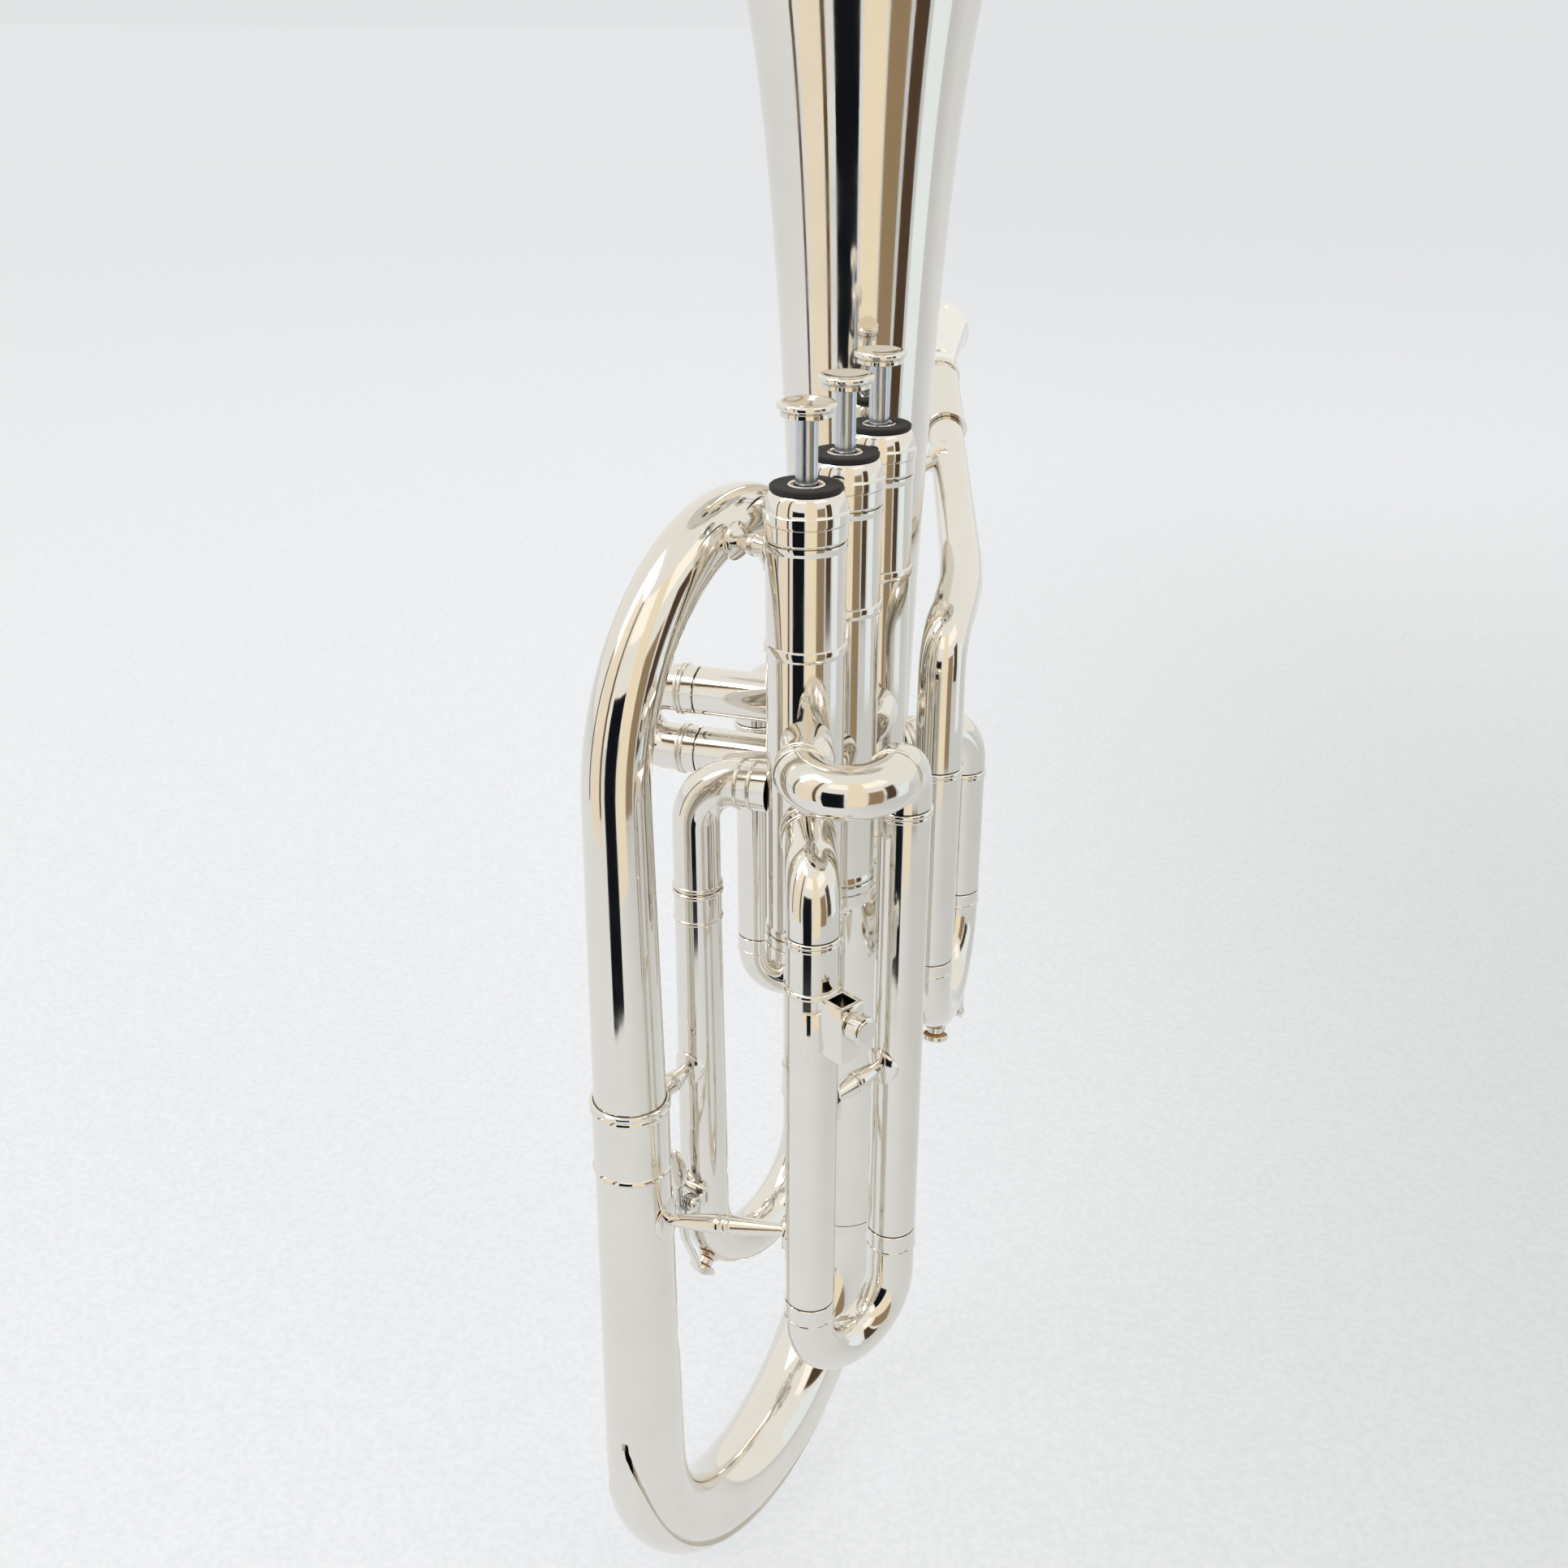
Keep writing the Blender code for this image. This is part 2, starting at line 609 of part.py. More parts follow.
def make_piston(number):
    """The ported body below, and above it the slotted barrel that holds the spring."""
    axis = VALVES[number]
    profile = [(0, BARREL_TOP), (BARREL_RADIUS, BARREL_TOP), (BARREL_RADIUS, PISTON_SHOULDER),
               (PISTON_RADIUS, PISTON_SHOULDER), (PISTON_RADIUS, PISTON_BOTTOM),
               (0, PISTON_BOTTOM)]
    piston = turned(f"piston_{number}", profile, monel, standing(axis), VALVE_SIDES)
    cavity_floor = PISTON_SHOULDER + BARREL_FLOOR
    cavity = cylinder(f"barrel_{number}_bore", BARREL_BORE, cavity_floor, BARREL_CEILING, monel,
                      standing(axis), TUBE_SIDES)
    slot_top = GUIDE_TOP + STROKE + GUIDE_CLEARANCE
    slot_size = (4 * BARREL_RADIUS, GUIDE_KEY_WIDTH + 2 * GUIDE_CLEARANCE, slot_top - cavity_floor)
    slot = box(f"barrel_{number}_slot", slot_size, monel,
               Matrix.Translation(at_height(axis, (slot_top + cavity_floor) / 2)))
    (inlet, inlet_height), (outlet, outlet_height) = port_directions()[number][:2]
    reach = PISTON_RADIUS + PORT_REACH
    through = at_height(axis, (inlet_height + outlet_height) / 2)
    passage = rounded_route([at_height(axis, inlet_height) + inlet * reach, through,
                             at_height(axis, outlet_height) + outlet * reach], [PORT_RADIUS])
    bore = as_mesh(tube(f"piston_{number}_passage", passage, PASSAGE_RADIUS, monel,
                        PIN_SIDES))
    return cut(piston, cavity, slot, bore)


def make_spring(number):
    """A coil that stands on the fixed guide and lifts the barrel's lid."""
    bottom = GUIDE_TOP + SEAT_GAP + SPRING_WIRE_RADIUS
    top = BARREL_CEILING - SEAT_GAP - SPRING_WIRE_RADIUS
    coil = BARREL_BORE - SPRING_SIDE_ROOM - SPRING_WIRE_RADIUS
    count = SPRING_TURNS * SPRING_POINTS_PER_TURN
    points = []
    for k in range(count + 1):
        angle = 2 * math.pi * k / SPRING_POINTS_PER_TURN
        height = bottom + (top - bottom) * k / count
        points.append(at_height(VALVES[number], height)
                      + Vector((math.cos(angle), math.sin(angle), 0)) * coil)
    spring = tube(f"valve_spring_{number}", points, SPRING_WIRE_RADIUS, steel, 4)
    spring.data.bevel_resolution = 0
    print(f"valve spring gap {(top - bottom) / SPRING_TURNS - 2 * SPRING_WIRE_RADIUS:.5f} m")
    return spring


def guide_pieces(number):
    """A disc inside the barrel, and a key across it that passes the slots to the casing."""
    disc = BARREL_BORE - GUIDE_CLEARANCE
    key_length = 2 * (CASING_BORE + GUIDE_SEAT)
    key_size = (key_length, GUIDE_KEY_WIDTH, GUIDE_THICKNESS - 2 * GUIDE_STEP)
    middle = at_height(VALVES[number], (GUIDE_TOP + GUIDE_BOTTOM) / 2)
    return (box(f"valve_guide_key_{number}", key_size, nickel, Matrix.Translation(middle)),
            cylinder(f"valve_guide_{number}", disc, GUIDE_BOTTOM, GUIDE_TOP, nickel,
                     standing(VALVES[number]), TUBE_SIDES))


def make_valves():
    for number, axis in VALVES.items():
        stand = standing(axis)
        casing = turned(f"valve_casing_{number}", casing_profile(), nickel, stand, VALVE_SIDES)
        cut_casing_ports(casing, number)
        join(casing, *guide_pieces(number))
        turned(f"top_cap_{number}", top_cap_profile(), nickel, stand, VALVE_SIDES)
        turned(f"bottom_cap_{number}", bottom_cap_profile(), nickel, stand, VALVE_SIDES)
        make_piston(number)
        turned(f"finger_button_{number}", button_profile(), nickel, stand, VALVE_SIDES)
        make_spring(number)


def make_knuckles():
    """Short bends on the right that carry the air from one casing to the next."""
    for first, bulge in KNUCKLE_BULGES.items():
        second = first + 1
        start = at_height(VALVES[first], KNUCKLE_HEIGHT)
        end = at_height(VALVES[second], KNUCKLE_HEIGHT)
        route = []
        for k in range(KNUCKLE_STEPS + 1):
            share = k / KNUCKLE_STEPS
            route.append(start.lerp(end, share) + RIGHT * bulge * math.sin(math.pi * share))
        knuckle = as_mesh(tube(f"knuckle_{first}_{second}", route, KNUCKLE_RADIUS, nickel))
        seat_on_valve(knuckle, first, KNUCKLE_HEIGHT)
        seat_on_valve(knuckle, second, KNUCKLE_HEIGHT)


# Slides

def sleeve_profile(length):
    """The outer tube of a slide, with a ring where the elbow goes in."""
    ring = SLEEVE_RADIUS + RING_RISE
    return [
        (ring, 0), (ring, -RING_WIDTH), (SLEEVE_RADIUS, -RING_WIDTH - RING_RISE),
        (SLEEVE_RADIUS, -length), (SLEEVE_BORE, -length), (SLEEVE_BORE, 0),
    ]


def make_sleeve(name, top, end, along=UP):
    """A sleeve from its ringed top to its open end."""
    return turned(name, sleeve_profile((end - top).length), nickel, standing(top, along))


def slide_route(leg_a, leg_b, inner_length, sleeve_ends, ferrule, bottom):
    """Route and radii of an inner tube, ferrule, bow, ferrule and inner tube in one piece.

    The legs are points at height zero, the heights are along the legs' own direction.
    """
    half = (leg_b - leg_a).length / 2
    leads = []
    for end in sleeve_ends:
        stop = end - SEAT_GAP
        leads.append([(stop + inner_length, INNER_TUBE_RADIUS),
                      (stop + STEP_LENGTH, INNER_TUBE_RADIUS), (stop, BOW_FERRULE_RADIUS),
                      (stop - ferrule + STEP_LENGTH, BOW_FERRULE_RADIUS)])
    low_a, low_b = (end - SEAT_GAP - ferrule for end in sleeve_ends)
    bow = rounded_route([at_height(leg_a, low_a), at_height(leg_a, bottom),
                         at_height(leg_b, bottom), at_height(leg_b, low_b)], [half, half])
    points = [at_height(leg_a, height) for height, _ in leads[0]] + bow
    points += [at_height(leg_b, height) for height, _ in reversed(leads[1])]
    radii = [radius for _, radius in leads[0]] + [BOW_RADIUS] * len(bow)
    return points, radii + [radius for _, radius in reversed(leads[1])]


def make_third_slide():
    port = at_height(VALVE_THREE, THIRD_UPPER_PORT)
    start = at_height(crook_start(), port.z)
    corners = [port, start, Vector((start.x, THIRD_CROOK_FRONT, port.z)),
               Vector((THIRD_RIGHT_LEG.x, THIRD_CROOK_FRONT, port.z)),
               at_height(THIRD_RIGHT_LEG, port.z),
               at_height(THIRD_RIGHT_LEG, THIRD_RIGHT_TOP + SEAT_GAP)]
    bends = [ELBOW_BEND, THIRD_CROOK_BEND, THIRD_CROOK_BEND, ELBOW_BEND]
    crook = as_mesh(tube("third_crook", rounded_route(corners, bends), SLEEVE_RADIUS, nickel))
    seat_on_valve(crook, 3, port.z)

    port = at_height(VALVE_THREE, THIRD_LOWER_PORT)
    corners = [port, at_height(THIRD_LEFT_LEG, port.z),
               at_height(THIRD_LEFT_LEG, THIRD_LEFT_TOP + SEAT_GAP)]
    elbow = as_mesh(tube("third_elbow", rounded_route(corners, [ELBOW_BEND]), SLEEVE_RADIUS,
                         nickel))
    seat_on_valve(elbow, 3, port.z)

    left_end, right_end = THIRD_SLEEVE_ENDS
    make_sleeve("third_sleeve_right", at_height(THIRD_RIGHT_LEG, THIRD_RIGHT_TOP),
                at_height(THIRD_RIGHT_LEG, right_end))
    make_sleeve("third_sleeve_left", at_height(THIRD_LEFT_LEG, THIRD_LEFT_TOP),
                at_height(THIRD_LEFT_LEG, left_end))
    route, radii = slide_route(THIRD_LEFT_LEG, THIRD_RIGHT_LEG, THIRD_INNER_LENGTH,
                               THIRD_SLEEVE_ENDS, THIRD_FERRULE_LENGTH, THIRD_BOW_BOTTOM)
    tube("third_slide", route, radii, nickel)


def make_second_slide():
    """Two level sleeves straight out of the middle casing, and their small bow."""
    ring = SLEEVE_RADIUS + RING_RISE
    end = SECOND_SLEEVE_END
    profile = [(SLEEVE_RADIUS, 0), (SLEEVE_RADIUS, end + RING_WIDTH + RING_RISE),
               (ring, end + RING_WIDTH), (ring, end), (SLEEVE_BORE, end), (SLEEVE_BORE, 0)]
    for name, height in (("upper", SECOND_UPPER_PORT), ("lower", SECOND_LOWER_PORT)):
        sleeve = turned(f"second_sleeve_{name}", profile, nickel,
                        standing(Vector((0, 0, height)), RIGHT))
        seat_on_valve(sleeve, 2, height)
    upper = Vector((SECOND_UPPER_PORT, 0, 0))
    lower = Vector((SECOND_LOWER_PORT, 0, 0))
    route, radii = slide_route(upper, lower, SECOND_INNER_LENGTH, (end, end),
                               SECOND_FERRULE_LENGTH, SECOND_BOW_END)
    level = [Vector((point.z, 0, point.x)) for point in route]
    tube("second_slide", level, radii, nickel)


def make_first_slide():
    for name, leg, port_height, top, bend in (
            ("far", FIRST_FAR_LEG, FIRST_UPPER_PORT, FIRST_FAR_TOP, ELBOW_BEND),
            ("near", FIRST_NEAR_LEG, FIRST_LOWER_PORT, FIRST_NEAR_TOP, FIRST_NEAR_BEND)):
        corners = [at_height(VALVE_ONE, port_height), at_height(leg, port_height),
                   at_height(leg, top + SEAT_GAP)]
        elbow = as_mesh(tube(f"first_elbow_{name}", rounded_route(corners, [bend]),
                             SLEEVE_RADIUS, nickel))
        seat_on_valve(elbow, 1, port_height)
        make_sleeve(f"first_sleeve_{name}", at_height(leg, top), at_height(leg, FIRST_SLEEVE_END))
    route, radii = slide_route(FIRST_FAR_LEG, FIRST_NEAR_LEG, FIRST_INNER_LENGTH,
                               (FIRST_SLEEVE_END, FIRST_SLEEVE_END), FIRST_FERRULE_LENGTH,
                               FIRST_BOW_BOTTOM)
    tube("first_slide", route, radii, nickel)


def make_main_slide():
    port = at_height(VALVE_ONE, MAIN_PORT)
    corners = [port, at_height(MAIN_LEG_B, MAIN_PORT),
               at_height(MAIN_LEG_B, MAIN_TOP_B + SEAT_GAP)]
    elbow = as_mesh(tube("main_elbow", rounded_route(corners, [MAIN_ELBOW_BEND]), SLEEVE_RADIUS,
                         nickel))
    seat_on_valve(elbow, 1, MAIN_PORT)
    for name, leg, top in (("main_sleeve_front", MAIN_LEG_A, MAIN_TOP_A),
                           ("main_sleeve_back", MAIN_LEG_B, MAIN_TOP_B)):
        make_sleeve(name, at_height(leg, top), at_height(leg, MAIN_SLEEVE_END))
    route, radii = slide_route(MAIN_LEG_A, MAIN_LEG_B, MAIN_INNER_LENGTH,
                               (MAIN_SLEEVE_END, MAIN_SLEEVE_END), MAIN_FERRULE_LENGTH,
                               MAIN_BOW_BOTTOM)
    slide = as_mesh(tube("main_slide", route, radii, nickel))
    join(slide, key_nipple("main"), key_saddle("main"))


# Leadpipe and mouthpiece

def leadpipe_corners():
    """From the receiver along its own line, past the first valve, and down the front leg."""
    start = RECEIVER_INNER_END - MOUTHPIECE_DIRECTION * SEAT_GAP
    return [start, RECEIVER_INNER_END - MOUTHPIECE_DIRECTION * LEADPIPE_LEAD, LEADPIPE_SIDE,
            at_height(MAIN_LEG_A, LEADPIPE_DROP_HEIGHT),
            at_height(MAIN_LEG_A, MAIN_TOP_A + SEAT_GAP)]


def make_leadpipe():
    bends = [LEADPIPE_KNEE_BEND, LEADPIPE_KNEE_BEND, LEADPIPE_DROP_BEND]
    route = rounded_route(leadpipe_corners(), bends)
    tube("leadpipe", route, tapered(route, LEADPIPE_START_RADIUS, SLEEVE_RADIUS), nickel,
         wall=LEADPIPE_WALL)


def make_receiver():
    """The tube that takes the mouthpiece's shank, with a ring at each end."""
    ring = RECEIVER_RADIUS + RING_RISE
    length = RECEIVER_LENGTH
    slope = RECEIVER_RING + RING_RISE
    profile = [
        (ring, length), (ring, length - RECEIVER_RING), (RECEIVER_RADIUS, length - slope),
        (RECEIVER_RADIUS, slope), (ring, RECEIVER_RING), (ring, 0), (RECEIVER_BORE, 0),
        (RECEIVER_MOUTH, length),
    ]
    turned("mouthpiece_receiver", profile, nickel,
           standing(RECEIVER_INNER_END, MOUTHPIECE_DIRECTION))


def make_mouthpiece():
    """Shank, bowl and rim, with a cup, throat and backbore inside."""
    seat_end = RECEIVER_LENGTH - MOUTHPIECE_SEAT
    top = RECEIVER_LENGTH + MOUTHPIECE_EXPOSED
    rim = MOUTHPIECE_RIM_RADIUS
    cup = MOUTHPIECE_CUP_RADIUS
    floor = top - MOUTHPIECE_CUP_DEPTH
    shank = RECEIVER_MOUTH - MOUTHPIECE_SHANK_CLEARANCE
    taper = (RECEIVER_MOUTH - RECEIVER_BORE) / RECEIVER_LENGTH
    tip = RECEIVER_BORE + taper * seat_end - MOUTHPIECE_SHANK_CLEARANCE
    profile = [(cup + MOUTHPIECE_RIM_BITE, top)]
    profile += [(rim * share, top - depth) for share, depth in MOUTHPIECE_BOWL]
    profile += [
        (shank, RECEIVER_LENGTH), (tip, seat_end), (tip - MOUTHPIECE_TIP_WALL, seat_end),
        (MOUTHPIECE_BORE, floor - MOUTHPIECE_THROAT), (MOUTHPIECE_BORE, floor),
    ]
    profile += [(cup * share, floor + MOUTHPIECE_CUP_DEPTH * level)
                for share, level in MOUTHPIECE_CUP]
    turned("mouthpiece", profile, silver, standing(RECEIVER_INNER_END, MOUTHPIECE_DIRECTION),
           VALVE_SIDES)


# Branches and bows

def make_second_tube():
    corners = [at_height(VALVE_THREE, ELBOW_PORT), at_height(SECOND_TUBE, ELBOW_PORT),
               at_height(SECOND_TUBE, SECOND_TUBE_JOINT + SEAT_GAP)]
    route = rounded_route(corners, [ELBOW_TUBE_BEND])
    elbow = as_mesh(tube("valve_elbow", route, SECOND_TUBE_RADIUS, nickel))
    seat_on_valve(elbow, 3, ELBOW_PORT)


def make_small_bow():
    """Down the second tube, round the small bow and up to the riser's ferrule."""
    half = (RISER - SECOND_TUBE).length / 2
    ring = SECOND_TUBE_JOINT - SECOND_COLLAR_LENGTH
    corners = [at_height(SECOND_TUBE, ring - STEP_LENGTH), at_height(SECOND_TUBE, SMALL_BOW_BOTTOM),
               at_height(RISER, SMALL_BOW_BOTTOM), at_height(RISER, RISER_BOTTOM - SEAT_GAP)]
    bend = rounded_route(corners, [half, half])
    radii = tapered(bend, SECOND_TUBE_RADIUS, RISER_RADIUS)
    collar = SECOND_TUBE_RADIUS + RING_RISE
    points = [at_height(SECOND_TUBE, SECOND_TUBE_JOINT), at_height(SECOND_TUBE, ring)] + bend
    bow = as_mesh(tube("small_bow", points, [collar, collar] + radii, nickel))
    join(bow, key_nipple("small"), key_saddle("small"))


def make_riser():
    """The straight tube between the first two valves, with a ferrule at its foot."""
    collar = RISER_RADIUS + RING_RISE
    foot = RISER_BOTTOM + FERRULE_LENGTH / 2
    bore = RISER_RADIUS - BRANCH_WALL
    profile = [
        (RISER_RADIUS, RISER_TOP - SEAT_GAP), (RISER_RADIUS, foot), (collar, foot - RING_RISE),
        (collar, RISER_BOTTOM), (bore, RISER_BOTTOM), (bore, RISER_TOP - SEAT_GAP),
    ]
    turned("riser", profile, nickel, standing(RISER), LARGE_TUBE_SIDES)


def make_top_bow():
    """A tall half ellipse from the riser over to the outer branch."""
    spring_line = RISER_TOP + BOW_LEAD
    middle = at_height((RISER + OUTER_BRANCH) / 2, spring_line)
    half = at_height(RISER - OUTER_BRANCH, 0) / 2
    points = [at_height(RISER, RISER_TOP)]
    for k in range(TOP_BOW_STEPS + 1):
        angle = math.pi * k / TOP_BOW_STEPS
        points.append(middle + half * math.cos(angle) + UP * TOP_BOW_HEIGHT * math.sin(angle))
    points.append(at_height(OUTER_BRANCH, RISER_TOP))
    tube("top_bow", points, tapered(points, RISER_RADIUS, OUTER_BRANCH_TOP_RADIUS), nickel,
         LARGE_TUBE_SIDES)


def make_outer_branch():
    top, end = RISER_TOP - SEAT_GAP, OUTER_BRANCH_END
    wide, narrow = OUTER_BRANCH_END_RADIUS, OUTER_BRANCH_TOP_RADIUS
    ring = top - RING_WIDTH
    profile = [
        (narrow + RING_RISE, top), (narrow + RING_RISE, ring), (narrow, ring - RING_RISE),
        (wide, end), (wide - BRANCH_WALL, end), (narrow - BRANCH_WALL, top),
    ]
    turned("outer_branch", profile, nickel, standing(OUTER_BRANCH), LARGE_TUBE_SIDES)
    bore = BOTTOM_BOW_START_RADIUS + SEAT_GAP
    outer = bore + FERRULE_WALL
    bead = outer + RING_RISE
    half = FERRULE_LENGTH / 2
    middle = half - FERRULE_BEAD_HALF_WIDTH
    inside = middle - FERRULE_BEAD_HALF_WIDTH
    sleeve = [
        (bead - RING_RISE / 2, half), (bead, middle), (outer, inside),
        (outer, -inside), (bead, -middle), (bead - RING_RISE / 2, -half),
        (bore, -half), (bore, half),
    ]
    turned("branch_ferrule", sleeve, nickel, standing(at_height(OUTER_BRANCH, end)),
           LARGE_TUBE_SIDES)


def bell_radius(drop):
    """The horn's flare: its outer radius at a distance below the rim."""
    offset = BELL_FLARE_OFFSET
    return BELL_RIM_RADIUS * (offset / (drop + offset)) ** BELL_FLARE_POWER


def make_bell():
    length = BELL_TOP - BELL_BOTTOM
    drops = [length * (k / BELL_RINGS) ** 3 for k in range(BELL_RINGS + 1)]
    outer = [Vector((bell_radius(drop), BELL_TOP - drop)) for drop in drops]
    inner = []
    for k, point in enumerate(outer):
        before, after = outer[max(k - 1, 0)], outer[min(k + 1, BELL_RINGS)]
        along = (after - before).normalized()
        inner.append(point + Vector((along.y, -along.x)) * BELL_WALL)
    rim = BELL_RIM_RADIUS
    crown = BELL_TOP + BELL_WALL
    lip = [(rim + BELL_RIM_WIDTH / 2, crown), (rim + BELL_RIM_WIDTH, BELL_TOP),
           (rim + BELL_RIM_WIDTH / 2, BELL_TOP - BELL_WALL)]
    wall = [(point.x, point.y) for point in outer[2:]]
    inside = [(point.x, point.y) for point in reversed(inner[2:])]
    inside[0] = (inside[0][0], BELL_BOTTOM)
    shoulder = [(rim - BELL_RIM_WIDTH, BELL_TOP - 2 * BELL_WALL)]
    turned("bell", lip + shoulder + wall + inside + [(rim - BELL_RIM_WIDTH / 2, crown)], nickel,
           standing(BELL_AXIS), BELL_SIDES)


def bottom_bow_bend():
    """The large half ellipse under the horn, with its centre and its side and half width."""
    half = (BELL_AXIS - OUTER_BRANCH).length / 2
    middle = at_height((BELL_AXIS + OUTER_BRANCH) / 2, BELL_BOTTOM - SEAT_GAP - BOW_LEAD)
    side = (OUTER_BRANCH - BELL_AXIS).normalized()
    bend = []
    for k in range(BOTTOM_BOW_STEPS + 1):
        angle = math.pi * k / BOTTOM_BOW_STEPS
        bend.append(middle + side * half * math.cos(angle)
                    + DOWN * BOTTOM_BOW_DEPTH * math.sin(angle))
    return bend, middle, side, half


def make_bottom_bow():
    bend, middle, side, half = bottom_bow_bend()
    start = at_height(OUTER_BRANCH, OUTER_BRANCH_END - SEAT_GAP)
    points = [start] + bend + [at_height(BELL_AXIS, BELL_BOTTOM - SEAT_GAP)]
    radii = tapered(points, BOTTOM_BOW_START_RADIUS, bell_radius(BELL_TOP - BELL_BOTTOM))
    tube("bottom_bow", points, radii, nickel, LARGE_TUBE_SIDES, BRANCH_WALL)

    grow = SEAT_GAP + GUARD_THICKNESS
    covered = [bend[0] + UP * BOW_LEAD] + bend + points[-1:]
    grown = [radii[1] + grow] + [radius + grow for radius in radii[1:]]
    guard = as_mesh(tube("bow_guard", covered, grown, nickel, LARGE_TUBE_SIDES,
                         GUARD_THICKNESS))
    lifted = middle + UP * GUARD_CUT_LIFT - side * GUARD_CUT_SHIFT
    waste = cylinder("guard_waste", half + GUARD_CUT_LIFT, -half, half, nickel,
                     standing(lifted, side.cross(UP)), GUARD_CUT_SIDES)
    cut(guard, waste)


# Braces

def brace(name, start, end):
    """A turned stay between two tubes' axes: flange, waist, centre bead, waist, flange."""
    span = end - start
    length = span.length
    ring = [(radius, length * share) for share, radius in BRACE_SHAPE]
    profile = [(0, length)] + ring + [(0, 0)]
    return turned(name, profile, nickel, standing(start, span), TUBE_SIDES)


def brace_between(name, tube_a, radius_a, tube_b, radius_b, along_a=UP, along_b=UP):
    """A stay seated on two tubes, given a point on each tube's axis and its radius."""
    way = (tube_b - tube_a).normalized()
    stay = brace(name, tube_a + way * (radius_a - BRACE_SINK),
                 tube_b - way * (radius_b - BRACE_SINK))
    return cut(stay, clearance_bar(f"{name}_seat_a", tube_a, radius_a, along_a),
               clearance_bar(f"{name}_seat_b", tube_b, radius_b, along_b))


def make_braces():
    left, right = SLIDE_BRACE_HEIGHTS
    brace_between("slide_brace", at_height(THIRD_LEFT_LEG, left), SLEEVE_RADIUS,
                  at_height(THIRD_RIGHT_LEG, right), SLEEVE_RADIUS)
    start, end = UPPER_BRANCH_BRACE_HEIGHTS
    ferrule_radius = BOTTOM_BOW_START_RADIUS + SEAT_GAP + FERRULE_WALL
    brace_between("upper_branch_brace", at_height(OUTER_BRANCH, start), ferrule_radius,
                  at_height(SECOND_TUBE, end), SECOND_TUBE_RADIUS + RING_RISE / 2)
    start, end = LOWER_BRANCH_BRACE_HEIGHTS
    brace_between("lower_branch_brace", at_height(OUTER_BRANCH, start),
                  BOTTOM_BOW_START_RADIUS + RING_RISE, at_height(THIRD_LEFT_LEG, end),
                  SLEEVE_RADIUS)

    height = TOP_BOW_BRACE_HEIGHT
    bow_way = at_height(RISER - OUTER_BRANCH, 0).normalized()
    bow_point = at_height(RISER + bow_way * (VALVE_THREE - RISER).dot(bow_way), height)
    brace_between("top_bow_brace", at_height(VALVE_THREE, height), CASING_RADIUS, bow_point,
                  (RISER_RADIUS + OUTER_BRANCH_TOP_RADIUS) / 2 + RING_RISE, UP, bow_way)

    on_pipe = RECEIVER_INNER_END - MOUTHPIECE_DIRECTION * BELL_BRACE_SETBACK
    height = on_pipe.z
    brace_between("bell_brace", at_height(BELL_AXIS, height),
                  bell_radius(BELL_TOP - height) + RING_RISE, on_pipe,
                  LEADPIPE_START_RADIUS + RING_RISE, UP, MOUTHPIECE_DIRECTION)


# Lyre box

def make_lyre_box():
    """A square socket soldered to the third slide's left sleeve, with a thumbscrew."""
    out = Vector((math.cos(LYRE_TURN), math.sin(LYRE_TURN), 0))
    turn = Matrix.Rotation(LYRE_TURN, 4, "Z")
    centre = (at_height(THIRD_LEFT_LEG, LYRE_TOP - LYRE_HEIGHT / 2)
              + out * (SLEEVE_RADIUS + LYRE_WIDTH / 2))
    depth = LYRE_WIDTH + LYRE_ROOT
    block = Matrix.Translation(centre - out * LYRE_ROOT / 2) @ turn
    holder = box("lyre_box", (depth, LYRE_WIDTH, LYRE_HEIGHT), nickel, block)
    socket = box("lyre_socket", (LYRE_SOCKET, LYRE_SOCKET, 2 * LYRE_HEIGHT), nickel,
                 Matrix.Translation(centre) @ turn)
    wall = at_height(centre, LYRE_TOP - LYRE_SCREW_DROP) + out * LYRE_SOCKET / 2
    hole = cylinder("lyre_hole", LYRE_SCREW_RADIUS + SEAT_GAP, -LYRE_ROOT, LYRE_WIDTH, nickel,
                    standing(wall, out), PIN_SIDES)
    leg = at_height(THIRD_LEFT_LEG, centre.z)
    cut(holder, clearance_bar("lyre_seat", leg, SLEEVE_RADIUS), socket, hole)
    head = (LYRE_WIDTH - LYRE_SOCKET) / 2 + LYRE_NECK
    top = head + LYRE_HEAD_LENGTH
    edge = LYRE_HEAD_RADIUS - LYRE_HEAD_CHAMFER
    profile = [
        (0, top), (edge, top), (LYRE_HEAD_RADIUS, top - LYRE_HEAD_CHAMFER),
        (LYRE_HEAD_RADIUS, head + LYRE_HEAD_CHAMFER), (edge, head), (LYRE_SCREW_RADIUS, head),
        (LYRE_SCREW_RADIUS, SEAT_GAP), (0, SEAT_GAP),
    ]
    turned("lyre_screw", profile, nickel, standing(wall, out), TUBE_SIDES)


# Water keys

def bow_bend(first, last, bottom):
    """Centre, level direction and radius of the half circle between two upright legs."""
    half = (last - first).length / 2
    return at_height((first + last) / 2, bottom + half), (last - first).normalized(), half


def key_bends():
    """Each water key's bow, its tube radius, and the angles of its hinge and pad round it."""
    small = bow_bend(RISER, SECOND_TUBE, SMALL_BOW_BOTTOM)
    main = bow_bend(MAIN_LEG_A, MAIN_LEG_B, MAIN_BOW_BOTTOM)
    small_radius = SECOND_TUBE_RADIUS + RING_RISE
    return {
        "small": (small, small_radius, 0.0, SMALL_KEY_LIFT, SMALL_KEY_PAD_ANGLE, SMALL_KEY_TOUCH),
        "main": (main, BOW_RADIUS, MAIN_KEY_ANGLE, 0.0, MAIN_KEY_PAD_ANGLE, MAIN_KEY_TOUCH),
    }


